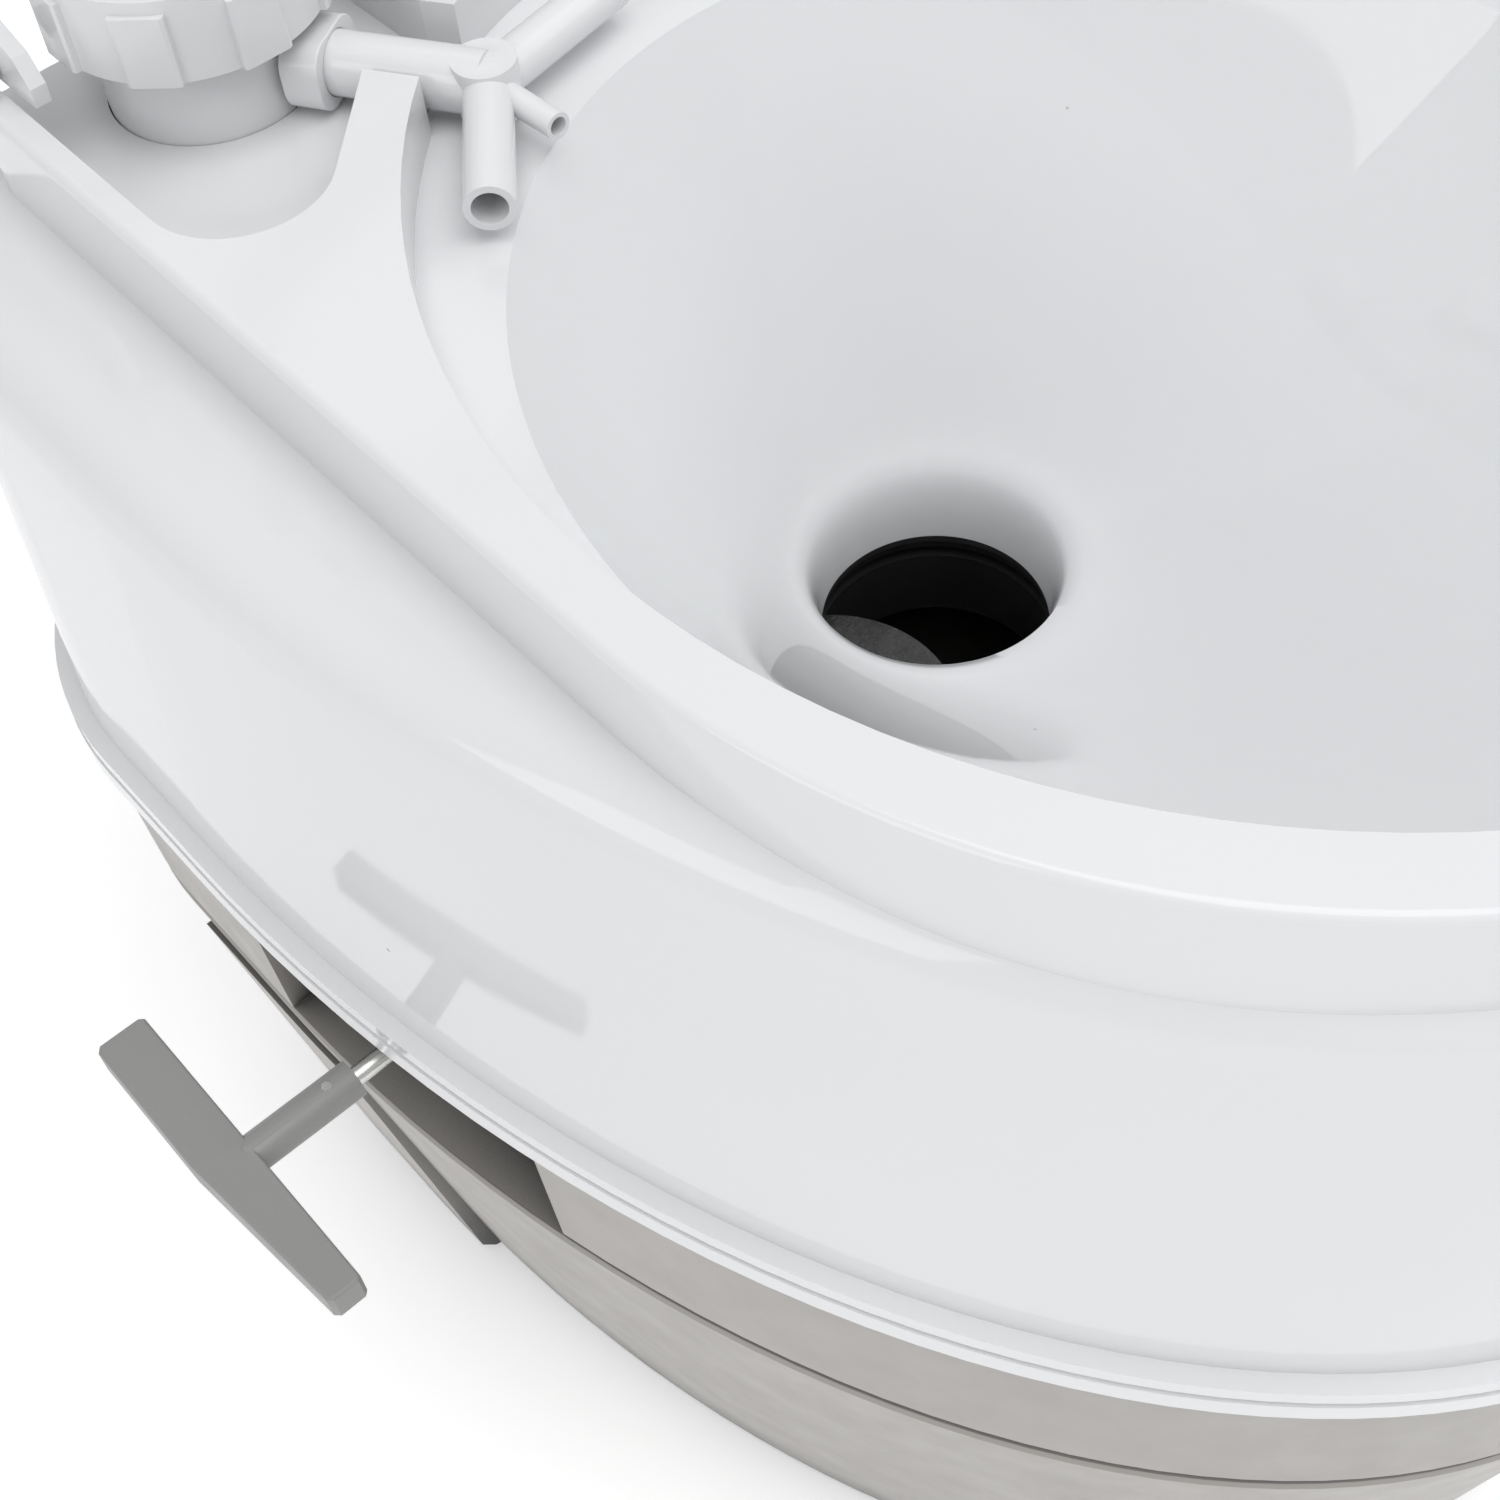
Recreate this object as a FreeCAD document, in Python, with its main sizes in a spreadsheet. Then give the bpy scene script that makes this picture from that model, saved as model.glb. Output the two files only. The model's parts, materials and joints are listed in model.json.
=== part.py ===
import FreeCAD, Part
import math
import os

import Sketcher

# A portable toilet: a flush unit with a bowl, a pump, a seat and a lid, standing on a holding tank
# whose slide valve is worked by a pull handle on the left.
# Frame: +Z up, the front of the toilet is -Y, +X is to the right seen from the front.
# Origin: on the floor under the axis of the drain.

doc = FreeCAD.newDocument("portable_toilet")
V = FreeCAD.Vector

# ---------------------------------------------------------------- driving dimensions (mm)
DIMENSIONS = {
    # outline of both units: half ellipse in front, straight sides, rounded rear corners
    "outline_centre_y": 60.3,
    "wall": 3.0,
    "lip_half_width": 181.3,
    "lip_front": 299.5,
    "lip_rear": 184.5,
    "lip_corner": 84.0,
    "lip_bottom": 207.3,
    "lip_height": 11.5,
    "lip_groove": 1.2,
    "foot_half_width": 177.5,
    "foot_front": 295.5,
    "foot_rear": 181.0,
    "foot_corner": 82.0,
    "shoulder_half_width": 168.2,
    "shoulder_front": 287.5,
    "shoulder_rear": 172.0,
    "shoulder_corner": 60.0,
    "shoulder_round": 15.0,
    "shoulder_top": 337.0,
    # raised deck, the opening over the bowl and the ledge inside it
    "deck_half_width": 135.8,
    "deck_arc_y": -59.0,
    "deck_arc_radius": 171.8,
    "deck_rear": 166.0,
    "deck_corner": 25.0,
    "deck_top": 360.0,
    "opening_half_width": 124.1,
    "opening_arc_y": -47.0,
    "opening_arc_radius": 176.1,
    "ledge_top": 345.5,
    "floor_plate": 2.5,
    "unit_floor": 208.5,
    # bowl and drain
    "bowl_centre_y": -62.0,
    "bowl_half_width": 118.0,
    "bowl_half_length": 137.4,
    "bowl_wall": 2.6,
    "drain_radius": 28.8,
    "drain_bottom": 204.0,
    "drain_round_z": 228.0,
    # pockets for the pump on the left and the fill cap on the right
    "pocket_outer_x": 129.4,
    "pocket_inner_x": 49.7,
    "pocket_round": 20.0,
    "pocket_round_y": 86.0,
    "pump_x": -87.3,
    "pump_y": 135.0,
    "gap_near": 7.8,
    "gap_far": 16.9,
    # pump
    "barrel_radius": 22.9,
    "barrel_bore": 20.0,
    "barrel_hole": 23.2,
    "barrel_bottom": 225.0,
    "barrel_top": 365.0,
    "knob_radius": 30.0,
    "knob_bottom": 366.0,
    "knob_height": 19.0,
    "rib_height": 1.2,
    "rib_width": 11.5,
    "rib_count": 8,
    "pump_rod_radius": 3.0,
    "piston_bottom": 250.0,
    "fill_radius": 24.0,
    # flush nozzle
    "nozzle_z": 354.5,
    "nozzle_reach": 66.0,
    "tube_radius": 6.9,
    "tube_bore": 5.3,
    "branch_radius": 5.4,
    "branch_bore": 3.8,
    "branch_length": 40.4,
    "middle_radius": 3.0,
    "middle_bore": 2.0,
    "middle_length": 22.0,
    # slide valve and its pull handle
    "rod_z": 196.7,
    "rod_radius": 2.4,
    "rod_bore": 2.46,
    "blade_tip_x": -4.5,
    "blade_length": 80.0,
    "blade_half_width": 33.0,
    "blade_thick": 3.0,
    "slot_bottom": 195.0,
    "slot_top": 198.5,
    "cover_top": 201.5,
    "valve_hole": 30.0,
    "gland_x": -125.0,
    "gland_length": 12.0,
    "sleeve_radius": 4.7,
    "sleeve_end_x": -183.5,
    "rod_end_x": -198.0,
    "bar_back_x": -210.6,
    "bar_thick": 9.0,
    "recess_front_y": -45.0,
    "recess_rear_y": 50.0,
    "recess_x": 158.0,
    # holding tank
    "tank_top": 204.0,
    "tank_deck": 181.0,
    "tank_half_width": 178.5,
    "tank_front": 297.0,
    "tank_rear": 181.0,
    "tank_corner": 80.0,
    "waist_half_width": 176.6,
    "waist_front": 294.5,
    "waist_rear": 179.0,
    "waist_corner": 79.0,
    "waist_z": 152.0,
    "base_half_width": 152.0,
    "base_front": 268.0,
    "base_rear": 158.0,
    "base_corner": 66.0,
    "base_round": 9.0,
    "rim_width": 8.0,
    "belt_bottom": 158.0,
    "belt_inset": 3.6,
    "bulge": 4.5,
    "bulge_front": 36.0,
    # emptying spout in its notch at the rear right
    "well_x": 31.0,
    "well_y": 95.0,
    "well_floor": 140.0,
    "spout_x": 51.0,
    "spout_y": 118.0,
    "spout_z": 161.0,
    "spout_radius": 16.0,
    "spout_bore": 13.0,
    "spout_reach": 92.0,
    "spout_cap_radius": 18.6,
    # seat and lid
    "hinge_y": 150.0,
    "hinge_z": 366.5,
    "hinge_pin_radius": 3.0,
    "hinge_bore": 3.08,
    "seat_half_width": 132.8,
    "seat_rear": 92.0,
    "seat_bottom": 363.5,
    "seat_thick": 16.0,
    "seat_hole_half_width": 96.0,
    "seat_hole_half_length": 115.0,
    "lid_bottom": 382.0,
    "lid_thick": 12.0,
    "lid_rear": 98.0,
    "open_angle": 106.0,
    # vent button on the rear wall of the tank
    "vent_x": -60.0,
    "vent_y": 178.0,
    "vent_z": 110.0,
}

sheet = doc.addObject("Spreadsheet::Sheet", "Dimensions")
for row, (alias, value) in enumerate(DIMENSIONS.items(), start=1):
    sheet.set("A%d" % row, alias)
    sheet.set("B%d" % row, str(value))
    sheet.setAlias("B%d" % row, alias)
doc.recompute()


def size(alias):
    """Value of one driving dimension."""
    return float(sheet.get(alias))


def bind(obj, prop, formula):
    """Tie a property to the sheet; bare aliases in the formula are read from it."""
    text = formula
    for alias in sorted(DIMENSIONS, key=len, reverse=True):
        text = replace_word(text, alias, "Dimensions.%s" % alias)
    obj.setExpression(prop, text)


def replace_word(text, word, new):
    """Replace a whole word in a formula."""
    pieces = []
    token = ""
    for letter in text + " ":
        if letter.isalnum() or letter in "_.":
            token += letter
            continue
        pieces.append(new if token == word else token)
        pieces.append(letter)
        token = ""
    return "".join(pieces).strip()


PARTS = []


def keep(obj, label):
    """Mark an object as a sub-part; its label is the name of its file."""
    obj.Label = label
    PARTS.append(obj)
    return obj


# ---------------------------------------------------------------- Part primitives and booleans
def place(obj, x="0", y="0", z="0", axis="Z"):
    """Put a primitive at a bound position, its own axis along +X, +Y, +Z or their opposites."""
    turns = {
        "Z": FreeCAD.Rotation(),
        "X": FreeCAD.Rotation(V(0, 1, 0), 90),
        "-X": FreeCAD.Rotation(V(0, 1, 0), -90),
        "Y": FreeCAD.Rotation(V(1, 0, 0), -90),
        "-Y": FreeCAD.Rotation(V(1, 0, 0), 90),
    }
    obj.Placement = FreeCAD.Placement(V(0, 0, 0), turns[axis])
    for letter, formula in zip("xyz", (x, y, z)):
        bind(obj, "Placement.Base." + letter, formula)
    return obj


def cylinder(name, radius, height, x="0", y="0", z="0", axis="Z"):
    obj = doc.addObject("Part::Cylinder", name)
    bind(obj, "Radius", radius)
    bind(obj, "Height", height)
    return place(obj, x, y, z, axis)


def box(name, length, width, height, x="0", y="0", z="0"):
    """A box whose low corner is at x, y, z."""
    obj = doc.addObject("Part::Box", name)
    bind(obj, "Length", length)
    bind(obj, "Width", width)
    bind(obj, "Height", height)
    return place(obj, x, y, z)


def cut(name, base, *tools):
    """Base less every tool."""
    obj = doc.addObject("Part::Cut", name)
    obj.Base = base
    obj.Tool = tools[0] if len(tools) == 1 else fuse(name + "_tools", *tools)
    return obj


def fuse(name, *items):
    obj = doc.addObject("Part::MultiFuse", name)
    obj.Shapes = list(items)
    obj.Refine = True
    return obj


def common(name, first, second):
    obj = doc.addObject("Part::MultiCommon", name)
    obj.Shapes = [first, second]
    return obj


def group(name, items):
    """Several separate solids in one node."""
    obj = doc.addObject("Part::Compound", name)
    obj.Links = list(items)
    return obj


def ring(name, outer, inner, height, x="0", y="0", z="0", axis="Z"):
    """A tube or washer."""
    solid = cylinder(name + "_outer", outer, height, x, y, z, axis)
    hollow = cylinder(name + "_bore", inner, height, x, y, z, axis)
    return cut(name, solid, hollow)


def level_edges(height):
    """Edges that lie at one height."""
    def pick(shape):
        found = []
        for index, edge in enumerate(shape.Edges, start=1):
            span = edge.BoundBox
            if abs(span.ZMin - height) < 0.01 and abs(span.ZMax - height) < 0.01:
                found.append(index)
        return found
    return pick


# ---------------------------------------------------------------- PartDesign bodies and sketches
def new_body(name):
    return doc.addObject("PartDesign::Body", name)


def new_sketch(body, name, z="0", x="0", y="0", role="XY_Plane"):
    """A sketch on one of the body's own origin planes, moved by bound offsets."""
    base_plane = [item for item in body.Origin.OriginFeatures if item.Role == role][0]
    sketch = body.newObject("Sketcher::SketchObject", name)
    sketch.AttachmentSupport = (base_plane, [""])
    sketch.MapMode = "FlatFace"
    for letter, formula in zip("xyz", (x, y, z)):
        bind(sketch, "AttachmentOffset.Base." + letter, formula)
    return sketch


def add_circle(sketch, radius):
    """A circle about the sketch's origin with a bound radius."""
    index = sketch.addGeometry(Part.Circle(V(0, 0, 0), V(0, 0, 1), 10), False)
    sketch.addConstraint(Sketcher.Constraint("Coincident", index, 3, -1, 1))
    row = sketch.addConstraint(Sketcher.Constraint("Radius", index, 10))
    bind(sketch, "Constraints[%d]" % row, radius)


def add_ellipse(sketch, half_x, half_y, centre_y=0.0):
    """An ellipse longer along Y."""
    top = V(0, centre_y + half_y, 0)
    side = V(-half_x, centre_y, 0)
    sketch.addGeometry(Part.Ellipse(top, side, V(0, centre_y, 0)), False)


def add_path(sketch, pieces):
    for piece in pieces:
        sketch.addGeometry(piece, False)


def line(x1, y1, x2, y2):
    return Part.LineSegment(V(x1, y1, 0), V(x2, y2, 0))


def arc(x, y, radius, start, end):
    """Arc about x, y from one angle to another, in degrees."""
    circle = Part.Circle(V(x, y, 0), V(0, 0, 1), radius)
    return Part.ArcOfCircle(circle, math.radians(start), math.radians(end))


def polygon(points):
    """Closed run of straight lines."""
    ends = points[1:] + points[:1]
    return [line(a[0], a[1], b[0], b[1]) for a, b in zip(points, ends)]


def pad(body, sketch, name, length):
    feature = body.newObject("PartDesign::Pad", name)
    feature.Profile = sketch
    bind(feature, "Length", length)
    return feature


def pocket_down(body, sketch, name, depth):
    """Cut the outline downwards from the sketch."""
    feature = body.newObject("PartDesign::Pocket", name)
    feature.Profile = sketch
    bind(feature, "Length", depth)
    doc.recompute()
    return feature


def loft(body, sketches, name, ruled=True, kind="PartDesign::AdditiveLoft"):
    feature = body.newObject(kind, name)
    feature.Profile = sketches[0]
    feature.Sections = sketches[1:]
    feature.Ruled = ruled
    return feature


# ---------------------------------------------------------------- outlines
BLEND = 51.0


def egg_outline(sketch, stem, margin=0.0, other=None, share=0.0):
    """Outline of a unit: half ellipse in front, straight sides, rounded rear corners.

    With another stem given, the outline lies that share of the way towards it.
    """
    sizes = []
    for word in ("_half_width", "_front", "_rear", "_corner"):
        value = size(stem + word)
        if other:
            value += share * (size(other + word) - value)
        sizes.append(value + margin)
    half, front, rear, corner = sizes
    middle = size("outline_centre_y")
    ellipse = Part.Ellipse(V(0, middle - front, 0), V(half, middle, 0), V(0, middle, 0))
    add_path(sketch, [
        Part.ArcOfEllipse(ellipse, -math.pi / 2, math.pi / 2),
        line(half, middle, half, rear - corner),
        arc(half - corner, rear - corner, corner, 0, 90),
        line(half - corner, rear, corner - half, rear),
        arc(corner - half, rear - corner, corner, 90, 180),
        line(-half, rear - corner, -half, middle),
    ])


def rounded_egg(body, name, foot, top, radius, margin=0.0, kind="PartDesign::AdditiveLoft"):
    """Loft between the foot and top outlines whose upper edge is rounded.

    Foot and top are (outline stem, height alias); a negative margin makes the hollow inside.
    """
    low = size(foot[1])
    high = size(top[1]) + margin
    base = new_sketch(body, name + "Foot", foot[1])
    egg_outline(base, foot[0], margin)
    sections = [base]
    for step in range(7):
        angle = math.radians(15 * step)
        inset = radius * (1 - math.cos(angle))
        drop = radius * (1 - math.sin(angle))
        ring_sketch = new_sketch(body, "%sRound%d" % (name, step), "%s + %f" % (top[1], margin - drop))
        share = (high - drop - low) / (size(top[1]) - low)
        egg_outline(ring_sketch, foot[0], margin - inset, top[0], share)
        sections.append(ring_sketch)
    return loft(body, sections, name + "Loft", True, kind)


def front_arcs(half, arc_y, radius):
    """Round front: two wide side arcs blended by a tighter one across the middle."""
    shift = radius - half
    end_radius = radius - shift / math.cos(math.radians(BLEND))
    end_y = arc_y - shift * math.tan(math.radians(BLEND))
    return [
        arc(shift, arc_y, radius, 180, 180 + BLEND),
        arc(0, end_y, end_radius, 180 + BLEND, 360 - BLEND),
        arc(-shift, arc_y, radius, 360 - BLEND, 360),
    ]


def deck_outline(sketch, margin=0.0):
    """Outline of the raised deck: round front, straight sides, rounded rear corners."""
    half = size("deck_half_width") + margin
    arc_y = size("deck_arc_y")
    rear = size("deck_rear") + margin
    corner = size("deck_corner")
    add_path(sketch, front_arcs(half, arc_y, size("deck_arc_radius") + margin) + [
        line(half, arc_y, half, rear - corner),
        arc(half - corner, rear - corner, corner, 0, 90),
        line(half - corner, rear, corner - half, rear),
        arc(corner - half, rear - corner, corner, 90, 180),
        line(-half, rear - corner, -half, arc_y),
    ])


def opening_outline(sketch, margin=0.0):
    """Oval opening over the bowl, the same shape at both ends."""
    half = size("opening_half_width") + margin
    arc_y = size("opening_arc_y")
    radius = size("opening_arc_radius") + margin
    shift = radius - half
    end_radius = radius - shift / math.cos(math.radians(BLEND))
    end_y = arc_y + shift * math.tan(math.radians(BLEND))
    add_path(sketch, front_arcs(half, arc_y, radius) + [
        arc(-shift, arc_y, radius, 0, BLEND),
        arc(0, end_y, end_radius, BLEND, 180 - BLEND),
        arc(shift, arc_y, radius, 180 - BLEND, 180),
    ])


def pocket_outline(sketch, side, rear, margin=0.0):
    """Outline of a rear pocket: round at its front, square at the rear; side is -1 or +1."""
    outer = size("pocket_outer_x") + margin
    inner = size("pocket_inner_x") - margin
    radius = size("pocket_round") + margin
    centre_x = size("pocket_outer_x") - size("pocket_round")
    centre_y = size("pocket_round_y")
    slant = radius * math.sqrt(0.5)
    tangent_x = centre_x - slant
    tangent_y = centre_y - slant
    run = tangent_x - inner - 11.8
    points = [
        (tangent_x, tangent_y),
        (tangent_x - run, tangent_y + run),
        (inner, tangent_y + run),
        (inner, rear),
        (outer, rear),
        (outer, centre_y),
    ]
    places = [(side * px, py) for px, py in points]
    pieces = [line(a[0], a[1], b[0], b[1]) for a, b in zip(places[:-1], places[1:])]
    if side > 0:
        pieces.append(arc(centre_x, centre_y, radius, 225, 360))
    else:
        pieces.append(arc(-centre_x, centre_y, radius, 180, 315))
    add_path(sketch, pieces)


# ---------------------------------------------------------------- flush unit: outer shell
def gap_outline(sketch, margin=0.0):
    """Straight channel for the flush nozzle, from the pump pocket into the opening."""
    along = V(0.52, -0.854, 0)
    across = V(0.854, 0.52, 0)
    start = V(size("pump_x"), size("pump_y"), 0)
    near = -size("gap_near") - margin
    far = size("gap_far") + margin
    corners = [
        start + along * 26 + across * near,
        start + along * 78 + across * near,
        start + along * 78 + across * far,
        start + along * 26 + across * far,
    ]
    add_path(sketch, polygon([(corner.x, corner.y) for corner in corners]))


def upper_shell():
    body = new_body("UpperShell")

    foot = ("foot", "lip_bottom")
    shoulder = ("shoulder", "shoulder_top")
    rounded_egg(body, "Wall", foot, shoulder, size("shoulder_round"))
    deck = new_sketch(body, "DeckOutline", "shoulder_top - 14")
    deck_outline(deck)
    pad(body, deck, "DeckBlock", "deck_top - shoulder_top + 14")
    doc.recompute()
    edge_round = body.newObject("PartDesign::Fillet", "DeckEdge")
    deck_edges = level_edges(size("deck_top"))(body.Shape)
    edge_round.Base = (body.getObject("DeckBlock"), ["Edge%d" % index for index in deck_edges])
    edge_round.Radius = 2.2

    lower_lip = new_sketch(body, "LowerLip", "lip_bottom")
    egg_outline(lower_lip, "lip")
    pad(body, lower_lip, "LowerLipBand", "lip_height / 2")
    groove = new_sketch(body, "LipGroove", "lip_bottom + lip_height / 2")
    egg_outline(groove, "lip", -size("lip_groove"))
    pad(body, groove, "LipGrooveBand", "1.5")
    upper_lip = new_sketch(body, "UpperLip", "lip_bottom + lip_height / 2 + 1.5")
    egg_outline(upper_lip, "lip", -0.3)
    pad(body, upper_lip, "UpperLipBand", "lip_height / 2 - 1.5")

    wall = size("wall")
    hollow = "PartDesign::SubtractiveLoft"
    rounded_egg(body, "Hollow", foot, shoulder, size("shoulder_round") - wall, -wall, hollow)
    deck_hollow = new_sketch(body, "DeckHollow", "deck_top - wall")
    deck_outline(deck_hollow, -wall)
    pocket_down(body, deck_hollow, "DeckHollowCut", "deck_top - shoulder_top + 8")

    rim = new_sketch(body, "OpeningWall", "ledge_top - floor_plate")
    opening_outline(rim, 5.6)
    pad(body, rim, "OpeningWallPad", "deck_top - wall / 2 - ledge_top + floor_plate")
    rear = size("deck_rear")
    for side, word in ((-1, "Left"), (1, "Right")):
        walls = new_sketch(body, word + "PocketWall", "ledge_top - floor_plate")
        pocket_outline(walls, side, rear - 0.2, 4.8)
        pad(body, walls, word + "PocketPad", "deck_top - wall / 2 - ledge_top + floor_plate")
    channel = new_sketch(body, "ChannelWall", "ledge_top - floor_plate")
    gap_outline(channel, wall)
    pad(body, channel, "ChannelPad", "deck_top - wall / 2 - ledge_top + floor_plate")

    for side, word in ((-1, "Left"), (1, "Right")):
        room = new_sketch(body, word + "Pocket", "deck_top + 1")
        pocket_outline(room, side, rear + 12)
        pocket_down(body, room, word + "PocketCut", "deck_top + 1 - ledge_top")
    slot = new_sketch(body, "Channel", "deck_top + 1")
    gap_outline(slot)
    pocket_down(body, slot, "ChannelCut", "deck_top + 1 - ledge_top")
    mouth = new_sketch(body, "Opening", "deck_top + 1")
    opening_outline(mouth)
    pocket_down(body, mouth, "OpeningCut", "deck_top + 1 - ledge_top")
    seat_room = new_sketch(body, "BowlSeat", "ledge_top")
    opening_outline(seat_room, 2.9)
    pocket_down(body, seat_room, "BowlSeatCut", "floor_plate + 2")

    pump_hole = new_sketch(body, "PumpHole", "ledge_top + 1", "pump_x", "pump_y")
    add_circle(pump_hole, "barrel_hole")
    pocket_down(body, pump_hole, "PumpHoleCut", "floor_plate + 2")
    fill_hole = new_sketch(body, "FillHole", "ledge_top + 1", "-pump_x", "pump_y")
    add_circle(fill_hole, "fill_radius")
    pocket_down(body, fill_hole, "FillHoleCut", "floor_plate + 2")
    return body


keep(upper_shell(), "upper_shell")


# ---------------------------------------------------------------- flush unit: bowl
# each throat step: height over the drain's lower rim, growth of its radius
THROAT_STEPS = ((0.0, 0.0), (9.0, 0.5), (15.0, 1.3), (19.0, 2.3), (22.0, 3.6))
# how far out towards the rim each bowl step lies
BOWL_STEPS = (0.03, 0.08, 0.15, 0.24, 0.35, 0.48, 0.62, 0.76, 0.89, 1.0)


def bowl_sections(body, name, margin):
    """Ellipses from the round throat up to the wide rim, nearer the front as they rise."""
    radius = size("drain_radius") + margin
    sections = []
    for step, (rise, growth) in enumerate(THROAT_STEPS):
        sketch = new_sketch(body, "%sThroat%d" % (name, step), "drain_bottom + %f" % rise)
        add_ellipse(sketch, radius + growth, radius + growth + 0.001)
        sections.append(sketch)
    throat = radius + 4.6
    rise = size("ledge_top") - size("drain_round_z")
    for step, share in enumerate(BOWL_STEPS):
        sketch = new_sketch(body, "%s%d" % (name, step), "drain_round_z + %f" % (rise * share ** 1.25))
        half_x = throat + share * (size("bowl_half_width") + margin - throat)
        half_y = throat + share * (size("bowl_half_length") + margin - throat)
        add_ellipse(sketch, half_x, half_y, share * size("bowl_centre_y"))
        sections.append(sketch)
    return sections


def bowl():
    body = new_body("Bowl")
    loft(body, bowl_sections(body, "BowlOuter", size("bowl_wall")), "BowlWall")
    flange = new_sketch(body, "Flange", "ledge_top - floor_plate")
    opening_outline(flange, 2.6)
    pad(body, flange, "FlangePad", "floor_plate")
    inside = bowl_sections(body, "BowlInner", 0.0)
    loft(body, inside, "BowlHollow", True, "PartDesign::SubtractiveLoft")
    return body


keep(bowl(), "bowl")


def flush_tank_floor():
    """Flat bottom that closes the flush water tank round the drain throat."""
    body = new_body("FlushTankFloor")
    plate = new_sketch(body, "FloorOutline", "unit_floor")
    egg_outline(plate, "foot", -size("wall") - 0.45)
    pad(body, plate, "FloorPad", "wall")
    hole = new_sketch(body, "FloorHole", "unit_floor + wall + 1")
    add_circle(hole, "drain_radius + bowl_wall + 0.8")
    pocket_down(body, hole, "FloorHoleCut", "wall + 2")
    return body


keep(flush_tank_floor(), "flush_tank_floor")


# ---------------------------------------------------------------- flush unit: bellows pump
def at_pump(maker, name, *args):
    """A round solid standing on the pump's axis."""
    return maker(name, *args[:-1], "pump_x", "pump_y", args[-1])


barrel_tube = at_pump(cylinder, "BarrelTube", "barrel_radius", "barrel_top - barrel_bottom",
                      "barrel_bottom")
barrel_flange = at_pump(cylinder, "BarrelFlange", "barrel_radius + 4", "2", "ledge_top - floor_plate - 2")
barrel_room = at_pump(cylinder, "BarrelRoom", "barrel_bore", "barrel_top - barrel_bottom - 4",
                      "barrel_bottom + 4")
barrel_inlet = at_pump(cylinder, "BarrelInlet", "4", "10", "barrel_bottom - 2")
barrel_outlet = cylinder("BarrelOutlet", "tube_bore", "30", "pump_x", "pump_y", "nozzle_z", "X")
barrel_outlet.Placement.Rotation = FreeCAD.Rotation(V(0, 0, 1), -58.66) * barrel_outlet.Placement.Rotation
keep(cut("PumpBarrel", fuse("BarrelBody", barrel_tube, barrel_flange), barrel_room, barrel_inlet,
         barrel_outlet), "pump_barrel")

collar = at_pump(ring, "BarrelCollar", "barrel_bore - 0.1", "pump_rod_radius + 0.08", "6", "barrel_top - 6")
keep(collar, "barrel_bush")

piston_low = at_pump(cylinder, "PistonLow", "barrel_bore - 0.4", "4", "piston_bottom")
piston_core = at_pump(cylinder, "PistonCore", "barrel_bore - 4", "4", "piston_bottom + 4")
piston_high = at_pump(cylinder, "PistonHigh", "barrel_bore - 0.4", "4", "piston_bottom + 8")
keep(fuse("PumpPiston", piston_low, piston_core, piston_high), "pump_piston")
keep(at_pump(ring, "PistonSeal", "barrel_bore - 0.05", "barrel_bore - 4", "4", "piston_bottom + 4"),
     "piston_seal")
keep(at_pump(cylinder, "PumpRod", "pump_rod_radius", "knob_bottom + 8 - piston_bottom - 12",
             "piston_bottom + 12"), "pump_rod")

foot_body = at_pump(ring, "FootValveBody", "9", "4", "5", "barrel_bottom - 5")
keep(foot_body, "foot_valve")
keep(at_pump(ring, "IntakePipe", "3.9", "2.6", "barrel_bottom - 5 - unit_floor - wall - 2.4",
             "unit_floor + wall + 2.4"), "intake_pipe")


def pump_knob():
    """Round knob with finger ribs, a dished top and a socket for the rod."""
    body = new_body("PumpKnob")
    round_part = new_sketch(body, "KnobRound", "knob_bottom", "pump_x", "pump_y")
    add_circle(round_part, "knob_radius")
    pad(body, round_part, "KnobPad", "knob_height")
    rib = new_sketch(body, "KnobRib", "knob_bottom", "pump_x", "pump_y")
    reach = size("knob_radius") + size("rib_height")
    half = size("rib_width") / 2
    add_path(rib, polygon([
        (reach - 4, -half),
        (reach - 0.5, -half),
        (reach, -half + 0.8),
        (reach, half - 0.8),
        (reach - 0.5, half),
        (reach - 4, half),
    ]))
    rib_pad = pad(body, rib, "KnobRibPad", "knob_height - 3")
    doc.recompute()
    ribs = body.newObject("PartDesign::PolarPattern", "KnobRibs")
    ribs.Originals = [rib_pad]
    ribs.Axis = (round_part, ["N_Axis"])
    ribs.Angle = 360.0
    ribs.Occurrences = int(size("rib_count"))
    body.Tip = ribs
    doc.recompute()
    dish = new_sketch(body, "KnobDish", "knob_bottom + knob_height", "pump_x", "pump_y")
    add_circle(dish, "knob_radius - 6")
    pocket_down(body, dish, "KnobDishCut", "3")
    skirt = new_sketch(body, "KnobSkirt", "knob_bottom + 6", "pump_x", "pump_y")
    add_circle(skirt, "knob_radius - 4")
    pocket_down(body, skirt, "KnobSkirtCut", "7")
    boss = new_sketch(body, "KnobBoss", "knob_bottom + 1", "pump_x", "pump_y")
    add_circle(boss, "pump_rod_radius + 4")
    pad(body, boss, "KnobBossPad", "6")
    socket = new_sketch(body, "KnobSocket", "knob_bottom + 8", "pump_x", "pump_y")
    add_circle(socket, "pump_rod_radius + 0.03")
    pocket_down(body, socket, "KnobSocketCut", "9")
    return body


keep(pump_knob(), "pump_knob")


# ---------------------------------------------------------------- flush unit: nozzle
NOZZLE_TURN = -58.66
JUNCTION_X = "pump_x + 0.52 * nozzle_reach"
JUNCTION_Y = "pump_y - 0.854 * nozzle_reach"


def level_tube(name, radius, length, x, y, turn, start=0.0):
    """A tube lying level at the nozzle's height, pointing along a compass turn from +X."""
    tube = cylinder(name, radius, length, x, y, "nozzle_z", "X")
    tube.Placement.Rotation = FreeCAD.Rotation(V(0, 0, 1), turn) * tube.Placement.Rotation
    return tube


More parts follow.
